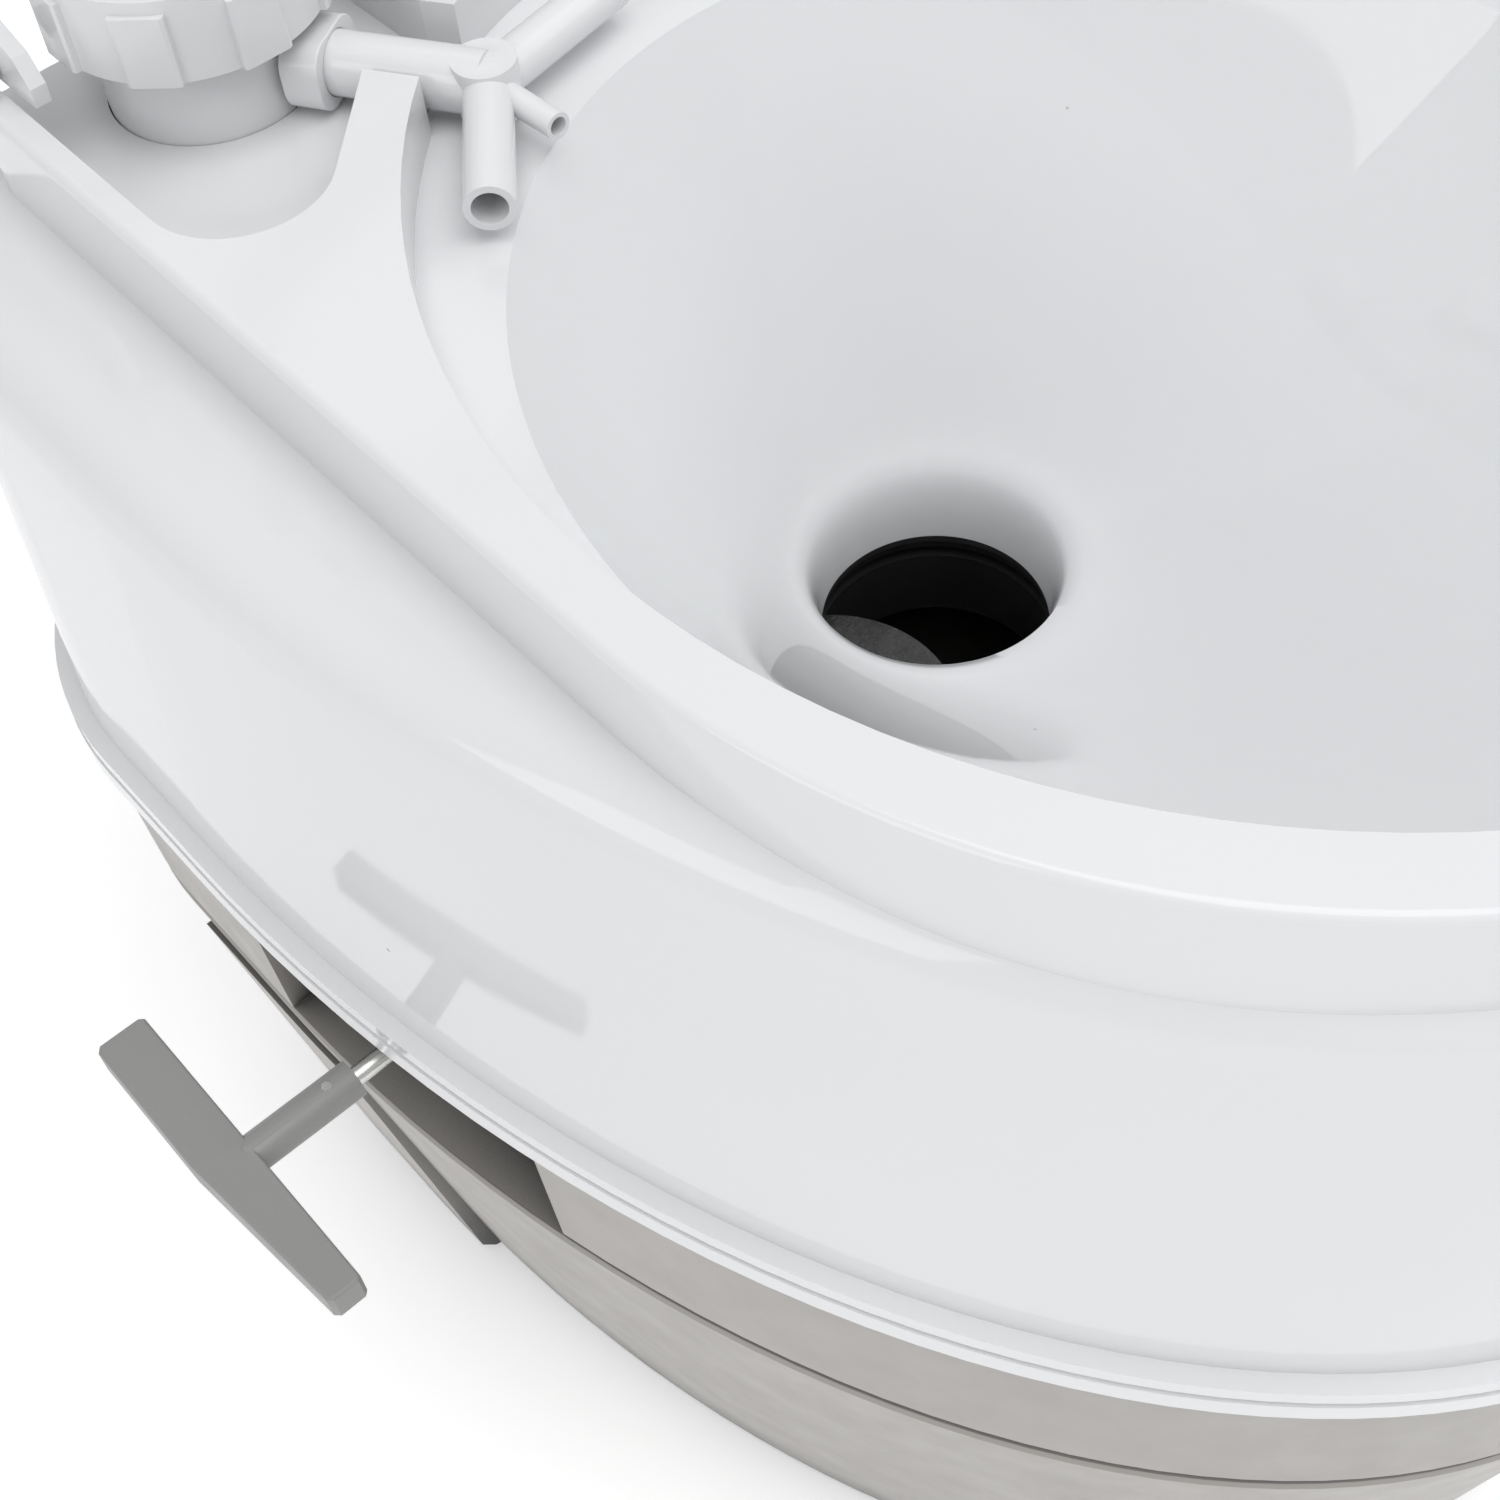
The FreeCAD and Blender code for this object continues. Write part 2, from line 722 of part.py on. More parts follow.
MAIN_X = "pump_x + 0.52 * 24"
MAIN_Y = "pump_y - 0.854 * 24"
nozzle_outer = [
    level_tube("MainTube", "tube_radius", "nozzle_reach - 24", MAIN_X, MAIN_Y, NOZZLE_TURN),
    level_tube("LeftTube", "branch_radius", "branch_length", JUNCTION_X, JUNCTION_Y, -126.9),
    level_tube("RightTube", "branch_radius - 0.1", "branch_length", JUNCTION_X, JUNCTION_Y, 11.4),
    level_tube("MiddleTube", "middle_radius", "middle_length", JUNCTION_X, JUNCTION_Y, -86.6),
    cylinder("Junction", "tube_radius + 0.1", "2 * tube_radius - 1.6", JUNCTION_X, JUNCTION_Y,
             "nozzle_z - tube_radius + 0.8"),
]
nozzle_bores = [
    cylinder("JunctionRoom", "tube_bore + 0.2", "2 * tube_bore - 1.6", JUNCTION_X, JUNCTION_Y,
             "nozzle_z - tube_bore + 0.8"),
    level_tube("MainBore", "tube_bore", "nozzle_reach - 24", MAIN_X, MAIN_Y, NOZZLE_TURN),
    level_tube("LeftBore", "branch_bore", "branch_length + 1", JUNCTION_X, JUNCTION_Y, -126.9),
    level_tube("RightBore", "branch_bore - 0.1", "branch_length + 1", JUNCTION_X, JUNCTION_Y, 11.4),
    level_tube("MiddleBore", "middle_bore", "middle_length + 1", JUNCTION_X, JUNCTION_Y, -86.6),
]
nozzle_body = fuse("NozzleBody", *nozzle_outer)
for tube in nozzle_bores:
    nozzle_body = cut("Nozzle" + tube.Name, nozzle_body, tube)
keep(nozzle_body, "flush_nozzle")


def outlet_connector():
    """Rounded collar that joins the nozzle to the pump barrel."""
    body = new_body("OutletConnector")
    plane = new_sketch(body, "CollarOutline", "nozzle_z - 8")
    along = V(0.52, -0.854, 0)
    across = V(0.854, 0.52, 0)
    start = V(size("pump_x"), size("pump_y"), 0)
    corners = [
        start + along * 23.2 + across * -10,
        start + along * 32 + across * -10,
        start + along * 32 + across * 10,
        start + along * 23.2 + across * 10,
    ]
    add_path(plane, polygon([(corner.x, corner.y) for corner in corners]))
    block = pad(body, plane, "CollarPad", "16")
    doc.recompute()
    long_edges = []
    for index, edge in enumerate(block.Shape.Edges, start=1):
        if abs(edge.tangentAt(edge.FirstParameter).dot(along)) > 0.99:
            long_edges.append("Edge%d" % index)
    rounding = body.newObject("PartDesign::Fillet", "CollarRound")
    rounding.Base = (block, long_edges)
    rounding.Radius = 6.0
    return body


collar_bore = level_tube("CollarBore", "tube_radius + 0.05", "20", "pump_x + 0.52 * 20",
                         "pump_y - 0.854 * 20", NOZZLE_TURN)
collar_room = at_pump(cylinder, "CollarRoom", "barrel_radius + 0.05", "20", "nozzle_z - 10")
keep(cut("OutletConnectorBored", outlet_connector(), collar_bore, collar_room), "outlet_connector")


# ---------------------------------------------------------------- flush unit: filling point
def at_fill(maker, name, *args):
    """A round solid standing on the filling point's axis."""
    return maker(name, *args[:-1], "-pump_x", "pump_y", args[-1])


neck_tube = at_fill(ring, "NeckTube", "fill_radius - 0.1", "fill_radius - 3", "44", "ledge_top - 26")
neck_flange = at_fill(ring, "NeckFlange", "fill_radius + 4", "fill_radius - 3", "2", "ledge_top")
keep(fuse("FillNeck", neck_tube, neck_flange), "fill_neck")
keep(at_fill(ring, "FillGasket", "fill_radius - 0.3", "fill_radius - 3", "1.5", "ledge_top + 18"),
     "fill_gasket")


def fill_cap():
    """Screw cap with grip ribs over the filling neck."""
    body = new_body("FillCap")
    round_part = new_sketch(body, "CapRound", "ledge_top + 5", "-pump_x", "pump_y")
    add_circle(round_part, "fill_radius + 4.5")
    pad(body, round_part, "CapPad", "18")
    room = new_sketch(body, "CapRoom", "ledge_top + 19.5", "-pump_x", "pump_y")
    add_circle(room, "fill_radius + 0.3")
    pocket_down(body, room, "CapRoomCut", "15")
    rib = new_sketch(body, "CapRib", "ledge_top + 6", "-pump_x", "pump_y")
    reach = size("fill_radius") + 5.5
    add_path(rib, polygon([(reach - 3, -1.2), (reach, -0.7), (reach, 0.7), (reach - 3, 1.2)]))
    rib_pad = pad(body, rib, "CapRibPad", "15")
    doc.recompute()
    ribs = body.newObject("PartDesign::PolarPattern", "CapRibs")
    ribs.Originals = [rib_pad]
    ribs.Axis = (round_part, ["N_Axis"])
    ribs.Angle = 360.0
    ribs.Occurrences = 24
    body.Tip = ribs
    return body


keep(fill_cap(), "fill_cap")


# ---------------------------------------------------------------- holding tank
def tank_slice(body, name, height, margin):
    """Tank outline at one height, moved in or out by a margin."""
    sketch = new_sketch(body, name, "%f" % height)
    waist = size("waist_z")
    if height <= waist:
        egg_outline(sketch, "base", margin, "waist", height / waist)
    else:
        egg_outline(sketch, "waist", margin, "tank", (height - waist) / (size("tank_top") - waist))
    return sketch


def tank_outside():
    """Tapered body with a rounded bottom edge, a groove at its waist and an upright belt above."""
    body = new_body("TankOutside")
    radius = size("base_round")
    levels = []
    for step in range(6):
        angle = math.radians(18 * step)
        levels.append((radius * (1 - math.cos(angle)), radius * (math.sin(angle) - 1)))
    waist = size("waist_z")
    belt = size("belt_bottom")
    inset = -size("belt_inset")
    levels += [(waist, 0.0), (waist + 1.2, -0.8), (waist + 2.2, inset), (belt - 0.6, inset), (belt, 0.0)]
    levels.append((size("tank_top"), 0.0))
    sections = [tank_slice(body, "TankSlice%d" % n, z, margin) for n, (z, margin) in enumerate(levels)]
    loft(body, sections, "TankLoft")
    return body


def side_bulge(name):
    """Fuller lower flank behind the handle recess."""
    body = new_body(name)
    radius = size("base_round")
    out = size("bulge")
    levels = [(0.3, out - radius), (radius / 3, out - 3), (radius, out), (size("waist_z") - 12, out / 3)]
    sections = [tank_slice(body, "%s%d" % (name, n), z, margin) for n, (z, margin) in enumerate(levels)]
    loft(body, sections, name + "Loft")
    plan = new_sketch(body, name + "Plan", "waist_z + 5")
    front = size("bulge_front")
    add_path(plan, polygon([(-260, front), (260, front), (260, -300), (-260, -300)]))
    pocket_down(body, plan, name + "Front", "waist_z + 20")
    rear = new_sketch(body, name + "RearPlan", "waist_z + 5")
    add_path(rear, polygon([(-260, 100), (260, 100), (260, 300), (-260, 300)]))
    pocket_down(body, rear, name + "Rear", "waist_z + 20")
    return body


def tank_inside():
    """The waste space, less the corner the spout stands in and the recess for the handle."""
    body = new_body("TankInside")
    wall = size("wall")
    inset = -size("belt_inset")
    waist = size("waist_z")
    levels = [(wall, -wall - 9), (wall + 6, -wall), (waist - 4, -wall), (waist - 1, inset - wall)]
    levels.append((size("tank_deck") - wall, inset - wall))
    sections = [tank_slice(body, "HollowSlice%d" % n, z, margin) for n, (z, margin) in enumerate(levels)]
    loft(body, sections, "TankHollowLoft")
    corner = new_sketch(body, "WellRoom", "tank_top")
    add_path(corner, polygon(well_corners(wall)))
    pocket_down(body, corner, "WellRoomCut", "tank_top - well_floor + wall")
    recess = new_sketch(body, "RecessRoom", "tank_top")
    add_path(recess, polygon(recess_corners(wall)))
    pocket_down(body, recess, "RecessRoomCut", "tank_top - belt_bottom + wall")
    return body


def well_corners(margin):
    """Plan of the open corner at the rear right, reaching past the tank's outline."""
    left = size("well_x") - margin
    front = size("well_y") - margin
    return [(left, front), (210, front), (210, 210), (left, 210)]


def recess_corners(margin):
    """Plan of the handle recess in the left side of the belt."""
    front = size("recess_front_y") - margin
    rear = size("recess_rear_y") + margin
    back = margin - size("recess_x")
    return [(-210, front), (back, front), (back, rear), (-210, rear)]


def tank_rim_room():
    """Space above the tank's deck, inside the rim that carries the flush unit."""
    body = new_body("TankRimRoom")
    low = tank_slice(body, "RimRoomLow", size("tank_deck"), -size("rim_width"))
    high = tank_slice(body, "RimRoomHigh", size("tank_top") + 1, -size("rim_width"))
    loft(body, [low, high], "RimRoomLoft")
    return body


def spout_well():
    body = new_body("SpoutWell")
    plan = new_sketch(body, "WellPlan", "well_floor")
    add_path(plan, polygon(well_corners(0.0)))
    pad(body, plan, "WellPad", "tank_top - well_floor + 1")
    return body


def handle_recess():
    body = new_body("HandleRecess")
    plan = new_sketch(body, "RecessPlan", "belt_bottom")
    add_path(plan, polygon(recess_corners(0.0)))
    pad(body, plan, "RecessPad", "tank_top - belt_bottom + 1")
    return body


tank_inlet = cylinder("TankInlet", "valve_hole + 3.05", "wall + 2", z="tank_deck - wall - 1")
spout_inlet = cylinder("SpoutInlet", "spout_bore", "wall + 2", "spout_x", "spout_y",
                       "well_floor - wall - 1")
vent_hole = cylinder("VentHole", "12.05", "40", "vent_x", "190", "vent_z", "-Y")
window_hole = box("WindowHole", "24", "50", "90", "-12", "-tank_front + outline_centre_y - 10", "40")
foot_holes = [
    cylinder("FootHole%d" % n, "9.05", "1.6", x, y, "0")
    for n, (x, y) in enumerate([("-105", "95"), ("105", "95"), ("-95", "-115"), ("95", "-115")])
]
tank_walls = fuse("TankWalls", tank_outside(), side_bulge("SideBulge"))
keep(cut("WasteTank", tank_walls, tank_inside(), tank_rim_room(), spout_well(), handle_recess(), tank_inlet,
         spout_inlet, vent_hole, window_hole, *foot_holes), "waste_tank")

for n, (word, x, y) in enumerate([("rear_left", "-105", "95"), ("rear_right", "105", "95"),
                                  ("front_left", "-95", "-115"), ("front_right", "95", "-115")]):
    keep(cylinder("Foot%d" % n, "9", "1.6", x, y, "0"), "rubber_foot_" + word)


def level_window():
    """Clear strip let into the front of the tank, following its slope."""
    body = new_body("LevelWindow")
    low = tank_slice(body, "WindowLow", 40.2, -0.4)
    high = tank_slice(body, "WindowHigh", 129.8, -0.4)
    loft(body, [low, high], "WindowLoft")
    return body


def window_hollow():
    body = new_body("WindowHollow")
    low = tank_slice(body, "WindowHollowLow", 39.2, -size("wall"))
    high = tank_slice(body, "WindowHollowHigh", 130.8, -size("wall"))
    loft(body, [low, high], "WindowHollowLoft")
    return body


window_strip = box("WindowStrip", "23.6", "60", "89.6", "-11.8", "-tank_front + outline_centre_y - 10",
                   "40.2")
keep(common("WindowPiece", cut("WindowShell", level_window(), window_hollow()), window_strip),
     "level_window")

# ---------------------------------------------------------------- slide valve on the tank's deck
SCREW_SPOTS = [("gland_x + 9", "-39"), ("gland_x + 9", "39"), ("-42", "-39"), ("-42", "39"),
               ("38", "-39"), ("38", "39")]


def screw_holes(name):
    """Holes for the six screws that hold the cover to the base."""
    holes = []
    for n, (x, y) in enumerate(SCREW_SPOTS):
        holes.append(cylinder("%s%d" % (name, n), "1.75", "20", x, y, "cover_top - 15"))
    return holes


valve_block = box("ValveBlock", "170", "88", "slot_top - tank_deck", "gland_x", "-44", "tank_deck")
valve_slot = box("ValveSlot", "168", "2 * blade_half_width + 0.6", "slot_top - slot_bottom + 1",
                 "gland_x + 4", "-blade_half_width - 0.3", "slot_bottom")
valve_throat = cylinder("ValveThroat", "valve_hole", "40", z="tank_deck - 12")
valve_neck = cylinder("ValveNeck", "valve_hole + 3", "wall + 6", z="tank_deck - wall - 4")
rod_hole = cylinder("ValveRodHole", "rod_bore", "30", "gland_x - 10", "0", "rod_z", "X")
rod_groove = cylinder("BaseRodGroove", "rod_radius + 0.35", "95", "gland_x + 4", "0", "rod_z", "X")
valve_body = fuse("ValveBody", valve_block, valve_neck)
keep(cut("ValveBase", valve_body, valve_slot, valve_throat, rod_hole, rod_groove,
         *screw_holes("BaseScrewHole")), "valve_base")

cover_plate = box("CoverPlate", "170", "88", "cover_top - slot_top", "gland_x", "-44", "slot_top")
cover_throat = cylinder("CoverThroat", "valve_hole", "10", z="slot_top - 1")
cover_groove = cylinder("CoverRodGroove", "rod_radius + 0.35", "100", "gland_x - 1", "0", "rod_z", "X")
keep(cut("ValveCover", cover_plate, cover_throat, cover_groove, *screw_holes("CoverScrewHole")),
     "valve_cover")

screws = []
for n, (x, y) in enumerate(SCREW_SPOTS):
    shank = cylinder("ScrewShank%d" % n, "1.7", "12", x, y, "cover_top - 12")
    head = cylinder("ScrewHead%d" % n, "3.2", "1.8", x, y, "cover_top")
    screws.append(fuse("ValveScrew%d" % n, shank, head))
keep(group("ValveScrews", screws), "valve_screws")

keep(ring("LipSeal", "38", "drain_radius + 0.4", "drain_bottom - cover_top", z="cover_top"),
     "valve_lip_seal")


def valve_blade():
    """Flat shutter with a rounded leading edge."""
    body = new_body("ValveBlade")
    plan = new_sketch(body, "BladePlan", "slot_bottom + 0.25")
    tip = size("blade_tip_x")
    half = size("blade_half_width")
    tail = tip - size("blade_length")
    add_path(plan, [
        arc(tip - half, 0, half, -90, 90),
        line(tip - half, half, tail, half),
        line(tail, half, tail, -half),
        line(tail, -half, tip - half, -half),
    ])
    pad(body, plan, "BladePad", "blade_thick")
    return body


blade_rod_room = cylinder("BladeRodRoom", "rod_radius + 0.03", "16", "blade_tip_x - blade_length - 1",
                          "0", "rod_z", "X")
rod_full = cylinder("RodFull", "rod_radius", "blade_tip_x - blade_length + 10 - rod_end_x",
                    "rod_end_x", "0", "rod_z", "X")
keep(cut("BladeBored", valve_blade(), blade_rod_room), "valve_blade")
rod_flat = box("RodFlat", "14", "10", "10", "blade_tip_x - blade_length - 0.1", "-5",
               "slot_bottom + blade_thick + 0.25")
rod_flat_low = box("RodFlatLow", "14", "10", "10", "blade_tip_x - blade_length - 0.1", "-5",
                   "slot_bottom - 9.75")
rod_pin_hole = cylinder("RodPinHole", "1.23", "20", "-190", "0", "rod_z - 10")
keep(cut("PullRod", rod_full, rod_flat, rod_flat_low, rod_pin_hole), "pull_rod")
keep(ring("RodGland", "7.5", "rod_bore", "gland_length", "gland_x - gland_length", "0", "rod_z", "X"),
     "rod_gland")


def pull_handle():
    """Tapered T-bar; its back is straight and its face leans in towards the front end."""
    body = new_body("PullHandle")
    plan = new_sketch(body, "BarPlan", "rod_z - bar_thick / 2")
    back = size("bar_back_x")
    add_path(plan, polygon([
        (back, 44.0),
        (back - 1.2, 45.0),
        (back - 11.6, 45.0),
        (back - 12.8, 43.6),
        (back - 12.8, 5.0),
        (back - 8.6, -41.6),
        (back - 7.4, -42.8),
        (back - 1.0, -42.8),
        (back, -41.8),
    ]))
    pad(body, plan, "BarPad", "bar_thick")
    doc.recompute()
    rounding = body.newObject("PartDesign::Fillet", "BarRound")
    low = level_edges(size("rod_z") - size("bar_thick") / 2)(body.Shape)
    high = level_edges(size("rod_z") + size("bar_thick") / 2)(body.Shape)
    rounding.Base = (body.getObject("BarPad"), ["Edge%d" % index for index in low + high])
    rounding.Radius = 0.9
    return body


handle_sleeve = cylinder("HandleSleeve", "sleeve_radius", "sleeve_end_x - bar_back_x + 2",
                         "bar_back_x - 2", "0", "rod_z", "X")
handle_bore = cylinder("HandleBore", "rod_radius + 0.03", "sleeve_end_x - rod_end_x + 2", "rod_end_x",
                       "0", "rod_z", "X")
pin_hole = cylinder("PinHole", "1.23", "20", "-190", "0", "rod_z - 10")
keep(cut("PullHandleBored", fuse("PullHandleBody", pull_handle(), handle_sleeve), handle_bore,
         pin_hole), "pull_handle")
keep(cylinder("HandlePin", "1.2", "2 * sleeve_radius - 0.4", "-190", "0",
              "rod_z - sleeve_radius + 0.2"), "handle_pin")


# ---------------------------------------------------------------- emptying spout
def at_spout(maker, name, *args):
    """A round solid standing on the spout's swivel axis."""
    return maker(name, *args[:-1], "spout_x", "spout_y", args[-1])


riser = at_spout(cylinder, "SpoutRiser", "spout_radius", "spout_z - well_floor + spout_radius - 0.1",
                 "well_floor + 0.1")
stem = at_spout(cylinder, "SpoutStem", "spout_bore - 0.1", "wall + 4", "well_floor - wall - 3.9")
stem_bore = at_spout(cylinder, "SpoutStemBore", "spout_bore - 2", "20", "well_floor - 14")
arm = cylinder("SpoutArm", "spout_radius - 0.4", "spout_reach", "spout_x", "spout_y", "spout_z", "X")
arm_bore = cylinder("SpoutArmBore", "spout_bore - 0.4", "spout_reach + 1", "spout_x", "spout_y",
                    "spout_z", "X")
spout_room = at_spout(cylinder, "SpoutRoom", "spout_bore", "spout_z - well_floor + 10", "well_floor + 3")
spout_body = fuse("SpoutWalls", riser, stem, arm)
for hollow in (stem_bore, spout_room, arm_bore):
    spout_body = cut("Spout" + hollow.Name, spout_body, hollow)
keep(spout_body, "spout")


def spout_cap():
    """Ribbed screw cap on the open end of the spout."""
    body = new_body("SpoutCap")
    wide = new_sketch(body, "SpoutCapRound", "spout_x + spout_reach + 4", role="YZ_Plane", x="spout_y",
                      y="spout_z")
    add_circle(wide, "spout_cap_radius")
    cap_pad = pad(body, wide, "SpoutCapPad", "18")
    cap_pad.Reversed = True
    room = new_sketch(body, "SpoutCapRoom", "spout_x + spout_reach + 1.2", role="YZ_Plane", x="spout_y",
                      y="spout_z")
    add_circle(room, "spout_radius")
    pocket_down(body, room, "SpoutCapRoomCut", "20")
    rib = new_sketch(body, "SpoutCapRib", "spout_x + spout_reach + 3", role="YZ_Plane", x="spout_y",
                     y="spout_z")
    reach = size("spout_cap_radius") + 1
    add_path(rib, polygon([(reach - 3, -1.3), (reach, -0.8), (reach, 0.8), (reach - 3, 1.3)]))
    rib_pad = pad(body, rib, "SpoutCapRibPad", "15")
    rib_pad.Reversed = True
    doc.recompute()
    ribs = body.newObject("PartDesign::PolarPattern", "SpoutCapRibs")
    ribs.Originals = [rib_pad]
    ribs.Axis = (wide, ["N_Axis"])
    ribs.Angle = 360.0
    ribs.Occurrences = 18
    body.Tip = ribs
    return body


keep(spout_cap(), "spout_cap")
keep(ring("SpoutGasket", "spout_radius - 0.4", "spout_bore - 0.4", "1.1",
          "spout_x + spout_reach + 0.05", "spout_y",
          "spout_z", "X"), "spout_gasket")

# ---------------------------------------------------------------- vent button on the tank's rear wall
def at_vent(maker, name, *args):
    """A round solid on the vent's axis, which runs front to back."""
    return maker(name, *args[:-1], "vent_x", args[-1], "vent_z", "Y")


vent_plate = at_vent(cylinder, "BezelPlate", "15", "10", "vent_y - 10")
bezel_flange = cut("BezelFlange", vent_plate, tank_outside())
bezel_tube = at_vent(cylinder, "BezelTube", "12", "13.2", "vent_y - 14.7")
bezel_room = at_vent(cylinder, "BezelRoom", "9.4", "20", "vent_y - 11.7")
bezel_vent = at_vent(cylinder, "BezelVent", "3", "10", "vent_y - 18")
keep(cut("VentBezel", fuse("BezelBody", bezel_flange, bezel_tube), bezel_room, bezel_vent), "vent_bezel")

# the button's stem passes the bezel's back plate and carries the seal on the inside of the tank
button_head = at_vent(cylinder, "ButtonHead", "9", "8", "vent_y - 5.2")
button_stem = at_vent(cylinder, "ButtonStem", "2.4", "15", "vent_y - 19")
button_stop = at_vent(cylinder, "ButtonStop", "4", "1.8", "vent_y - 19.4")
keep(fuse("VentButton", button_head, button_stem, button_stop), "vent_button")
keep(at_vent(ring, "VentSeal", "6.5", "2.45", "2.5", "vent_y - 17.4"), "vent_seal")

# ---------------------------------------------------------------- rear latch joining the two units
latch_base = box("LatchBase", "44", "12", "40", "-22", "lip_rear - 14.5", "150")
latch_ears = [box("LatchEarLeft", "5", "23", "14", "-22", "lip_rear - 14.5", "152"),
              box("LatchEarRight", "5", "23", "14", "17", "lip_rear - 14.5", "152")]
ear_bore = cylinder("EarBore", "2", "60", "-30", "lip_rear + 5", "159", "X")
tank_face = tank_outside()
keep(cut("LatchBaseFitted", fuse("LatchBaseBody", latch_base, *latch_ears), tank_face, ear_bore),
     "latch_bracket")
keep(cylinder("LatchPin", "2", "44", "-22", "lip_rear + 5", "159", "X"), "latch_pin")
lever_plate = box("LeverPlate", "33", "4", "66", "-16.5", "lip_rear + 3", "154")
lever_hub = cylinder("LeverHub", "4.5", "33", "-16.5", "lip_rear + 5", "159", "X")
lever_hook = box("LeverHook", "33", "9", "4", "-16.5", "lip_rear - 3", "219.3")
lever_bore = cylinder("LeverBore", "2.06", "60", "-30", "lip_rear + 5", "159", "X")
lever_body = fuse("LeverBody", lever_plate, lever_hub, lever_hook)
keep(cut("RearLatch", lever_body, lever_bore), "rear_latch")


# ---------------------------------------------------------------- seat and lid, modelled closed
def seat_plate():
    """Flat ring of the seat with its oval hole and a soft upper edge."""
    body = new_body("SeatPlate")
    plan = new_sketch(body, "SeatPlan", "seat_bottom")
    half = size("seat_half_width")
    arc_y = size("deck_arc_y")
    rear = size("seat_rear")
    corner = 25.0
    add_path(plan, front_arcs(half, arc_y, size("deck_arc_radius") - 3) + [
        line(half, arc_y, half, rear - corner),
        arc(half - corner, rear - corner, corner, 0, 90),
        line(half - corner, rear, corner - half, rear),
        arc(corner - half, rear - corner, corner, 90, 180),
        line(-half, rear - corner, -half, arc_y),
    ])
    pad(body, plan, "SeatPad", "seat_thick")
    doc.recompute()
    rounding = body.newObject("PartDesign::Fillet", "SeatEdge")
    edges = level_edges(size("seat_bottom") + size("seat_thick"))(body.Shape)
    rounding.Base = (body.getObject("SeatPad"), ["Edge%d" % index for index in edges])
    rounding.Radius = 6.0
    hole = new_sketch(body, "SeatHole", "seat_bottom + seat_thick + 1")
    add_ellipse(hole, size("seat_hole_half_width"), size("seat_hole_half_length"), size("bowl_centre_y"))
    pocket_down(body, hole, "SeatHoleCut", "seat_thick + 2")
    hollow = new_sketch(body, "SeatUnderside", "seat_bottom + seat_thick - wall", role="XY_Plane")
    add_path(hollow, front_arcs(half - 4, arc_y, size("deck_arc_radius") - 7) + [
        line(half - 4, arc_y, half - 4, rear - corner),
        arc(half - corner, rear - corner, corner - 4, 0, 90),
        line(half - corner, rear - 4, corner - half, rear - 4),
        arc(corner - half, rear - corner, corner - 4, 90, 180),
        line(4 - half, rear - corner, 4 - half, arc_y),
    ])
    add_ellipse(hollow, size("seat_hole_half_width") + 4, size("seat_hole_half_length") + 4,
                size("bowl_centre_y"))
    pocket_down(body, hollow, "SeatUndersideCut", "seat_thick")
    return body


def seat_arm(name, x):
    """Hinge arm of the seat: a long bar with a heel that stops it when open."""
    body = new_body(name)
    profile = new_sketch(body, name + "Profile", x, role="YZ_Plane")
    add_path(profile, polygon([
        (84.0, size("seat_bottom") + 0.2),
        (140.0, size("seat_bottom") + 0.2),
        (149.0, 351.0),
        (155.5, 348.6),
        (159.8, 350.1),
        (157.0, 362.0),
        (154.6, 371.0),
        (150.0, 373.0),
        (144.0, 377.0),
        (84.0, 377.0),
    ]))
    pad(body, profile, name + "Pad", "3.7")
    return body


HINGE = V(0, size("hinge_y"), size("hinge_z"))


def opened(obj):
    """Stand a piece modelled closed up to the open pose about the hinge line."""
    turn = FreeCAD.Rotation(V(1, 0, 0), -size("open_angle"))
    obj.Placement = FreeCAD.Placement(HINGE - turn.multVec(HINGE), turn) * obj.Placement
    return obj


seat_arms = [seat_arm("SeatArmLeft", "-127.9"), seat_arm("SeatArmRight", "124.2")]
seat_bore = cylinder("SeatBore", "hinge_bore", "280", "-140", "hinge_y", "hinge_z", "X")
seat_solid = cut("SeatSolid", fuse("SeatBody", seat_plate(), *seat_arms), seat_bore)
keep(opened(group("SeatGroup", [seat_solid])), "seat")


def lid_outline(inset):
    """Plan of the lid: it stops in front of the pump knob and the fill cap."""
    half = size("deck_half_width") - inset
    arc_y = size("deck_arc_y")
    rear = size("lid_rear") - inset
    corner = 25.0 - inset
    return front_arcs(half, arc_y, size("deck_arc_radius") - inset) + [
        line(half, arc_y, half, rear - corner),
        arc(half - corner, rear - corner, corner, 0, 90),
        line(half - corner, rear, corner - half, rear),
        arc(corner - half, rear - corner, corner, 90, 180),
        line(-half, rear - corner, -half, arc_y),
    ]


def lid_plate():
    """Shallow cover over the seat, hollow from below."""
    body = new_body("LidPlate")
    plan = new_sketch(body, "LidPlan", "lid_bottom")
    add_path(plan, lid_outline(0.0))
    pad(body, plan, "LidPad", "lid_thick")
    doc.recompute()
    rounding = body.newObject("PartDesign::Fillet", "LidEdge")
    edges = level_edges(size("lid_bottom") + size("lid_thick"))(body.Shape)
    rounding.Base = (body.getObject("LidPad"), ["Edge%d" % index for index in edges])
    rounding.Radius = 4.0
    hollow = new_sketch(body, "LidUnderside", "lid_bottom + lid_thick - wall")
    add_path(hollow, lid_outline(4.0))
    pocket_down(body, hollow, "LidUndersideCut", "lid_thick")
    return body


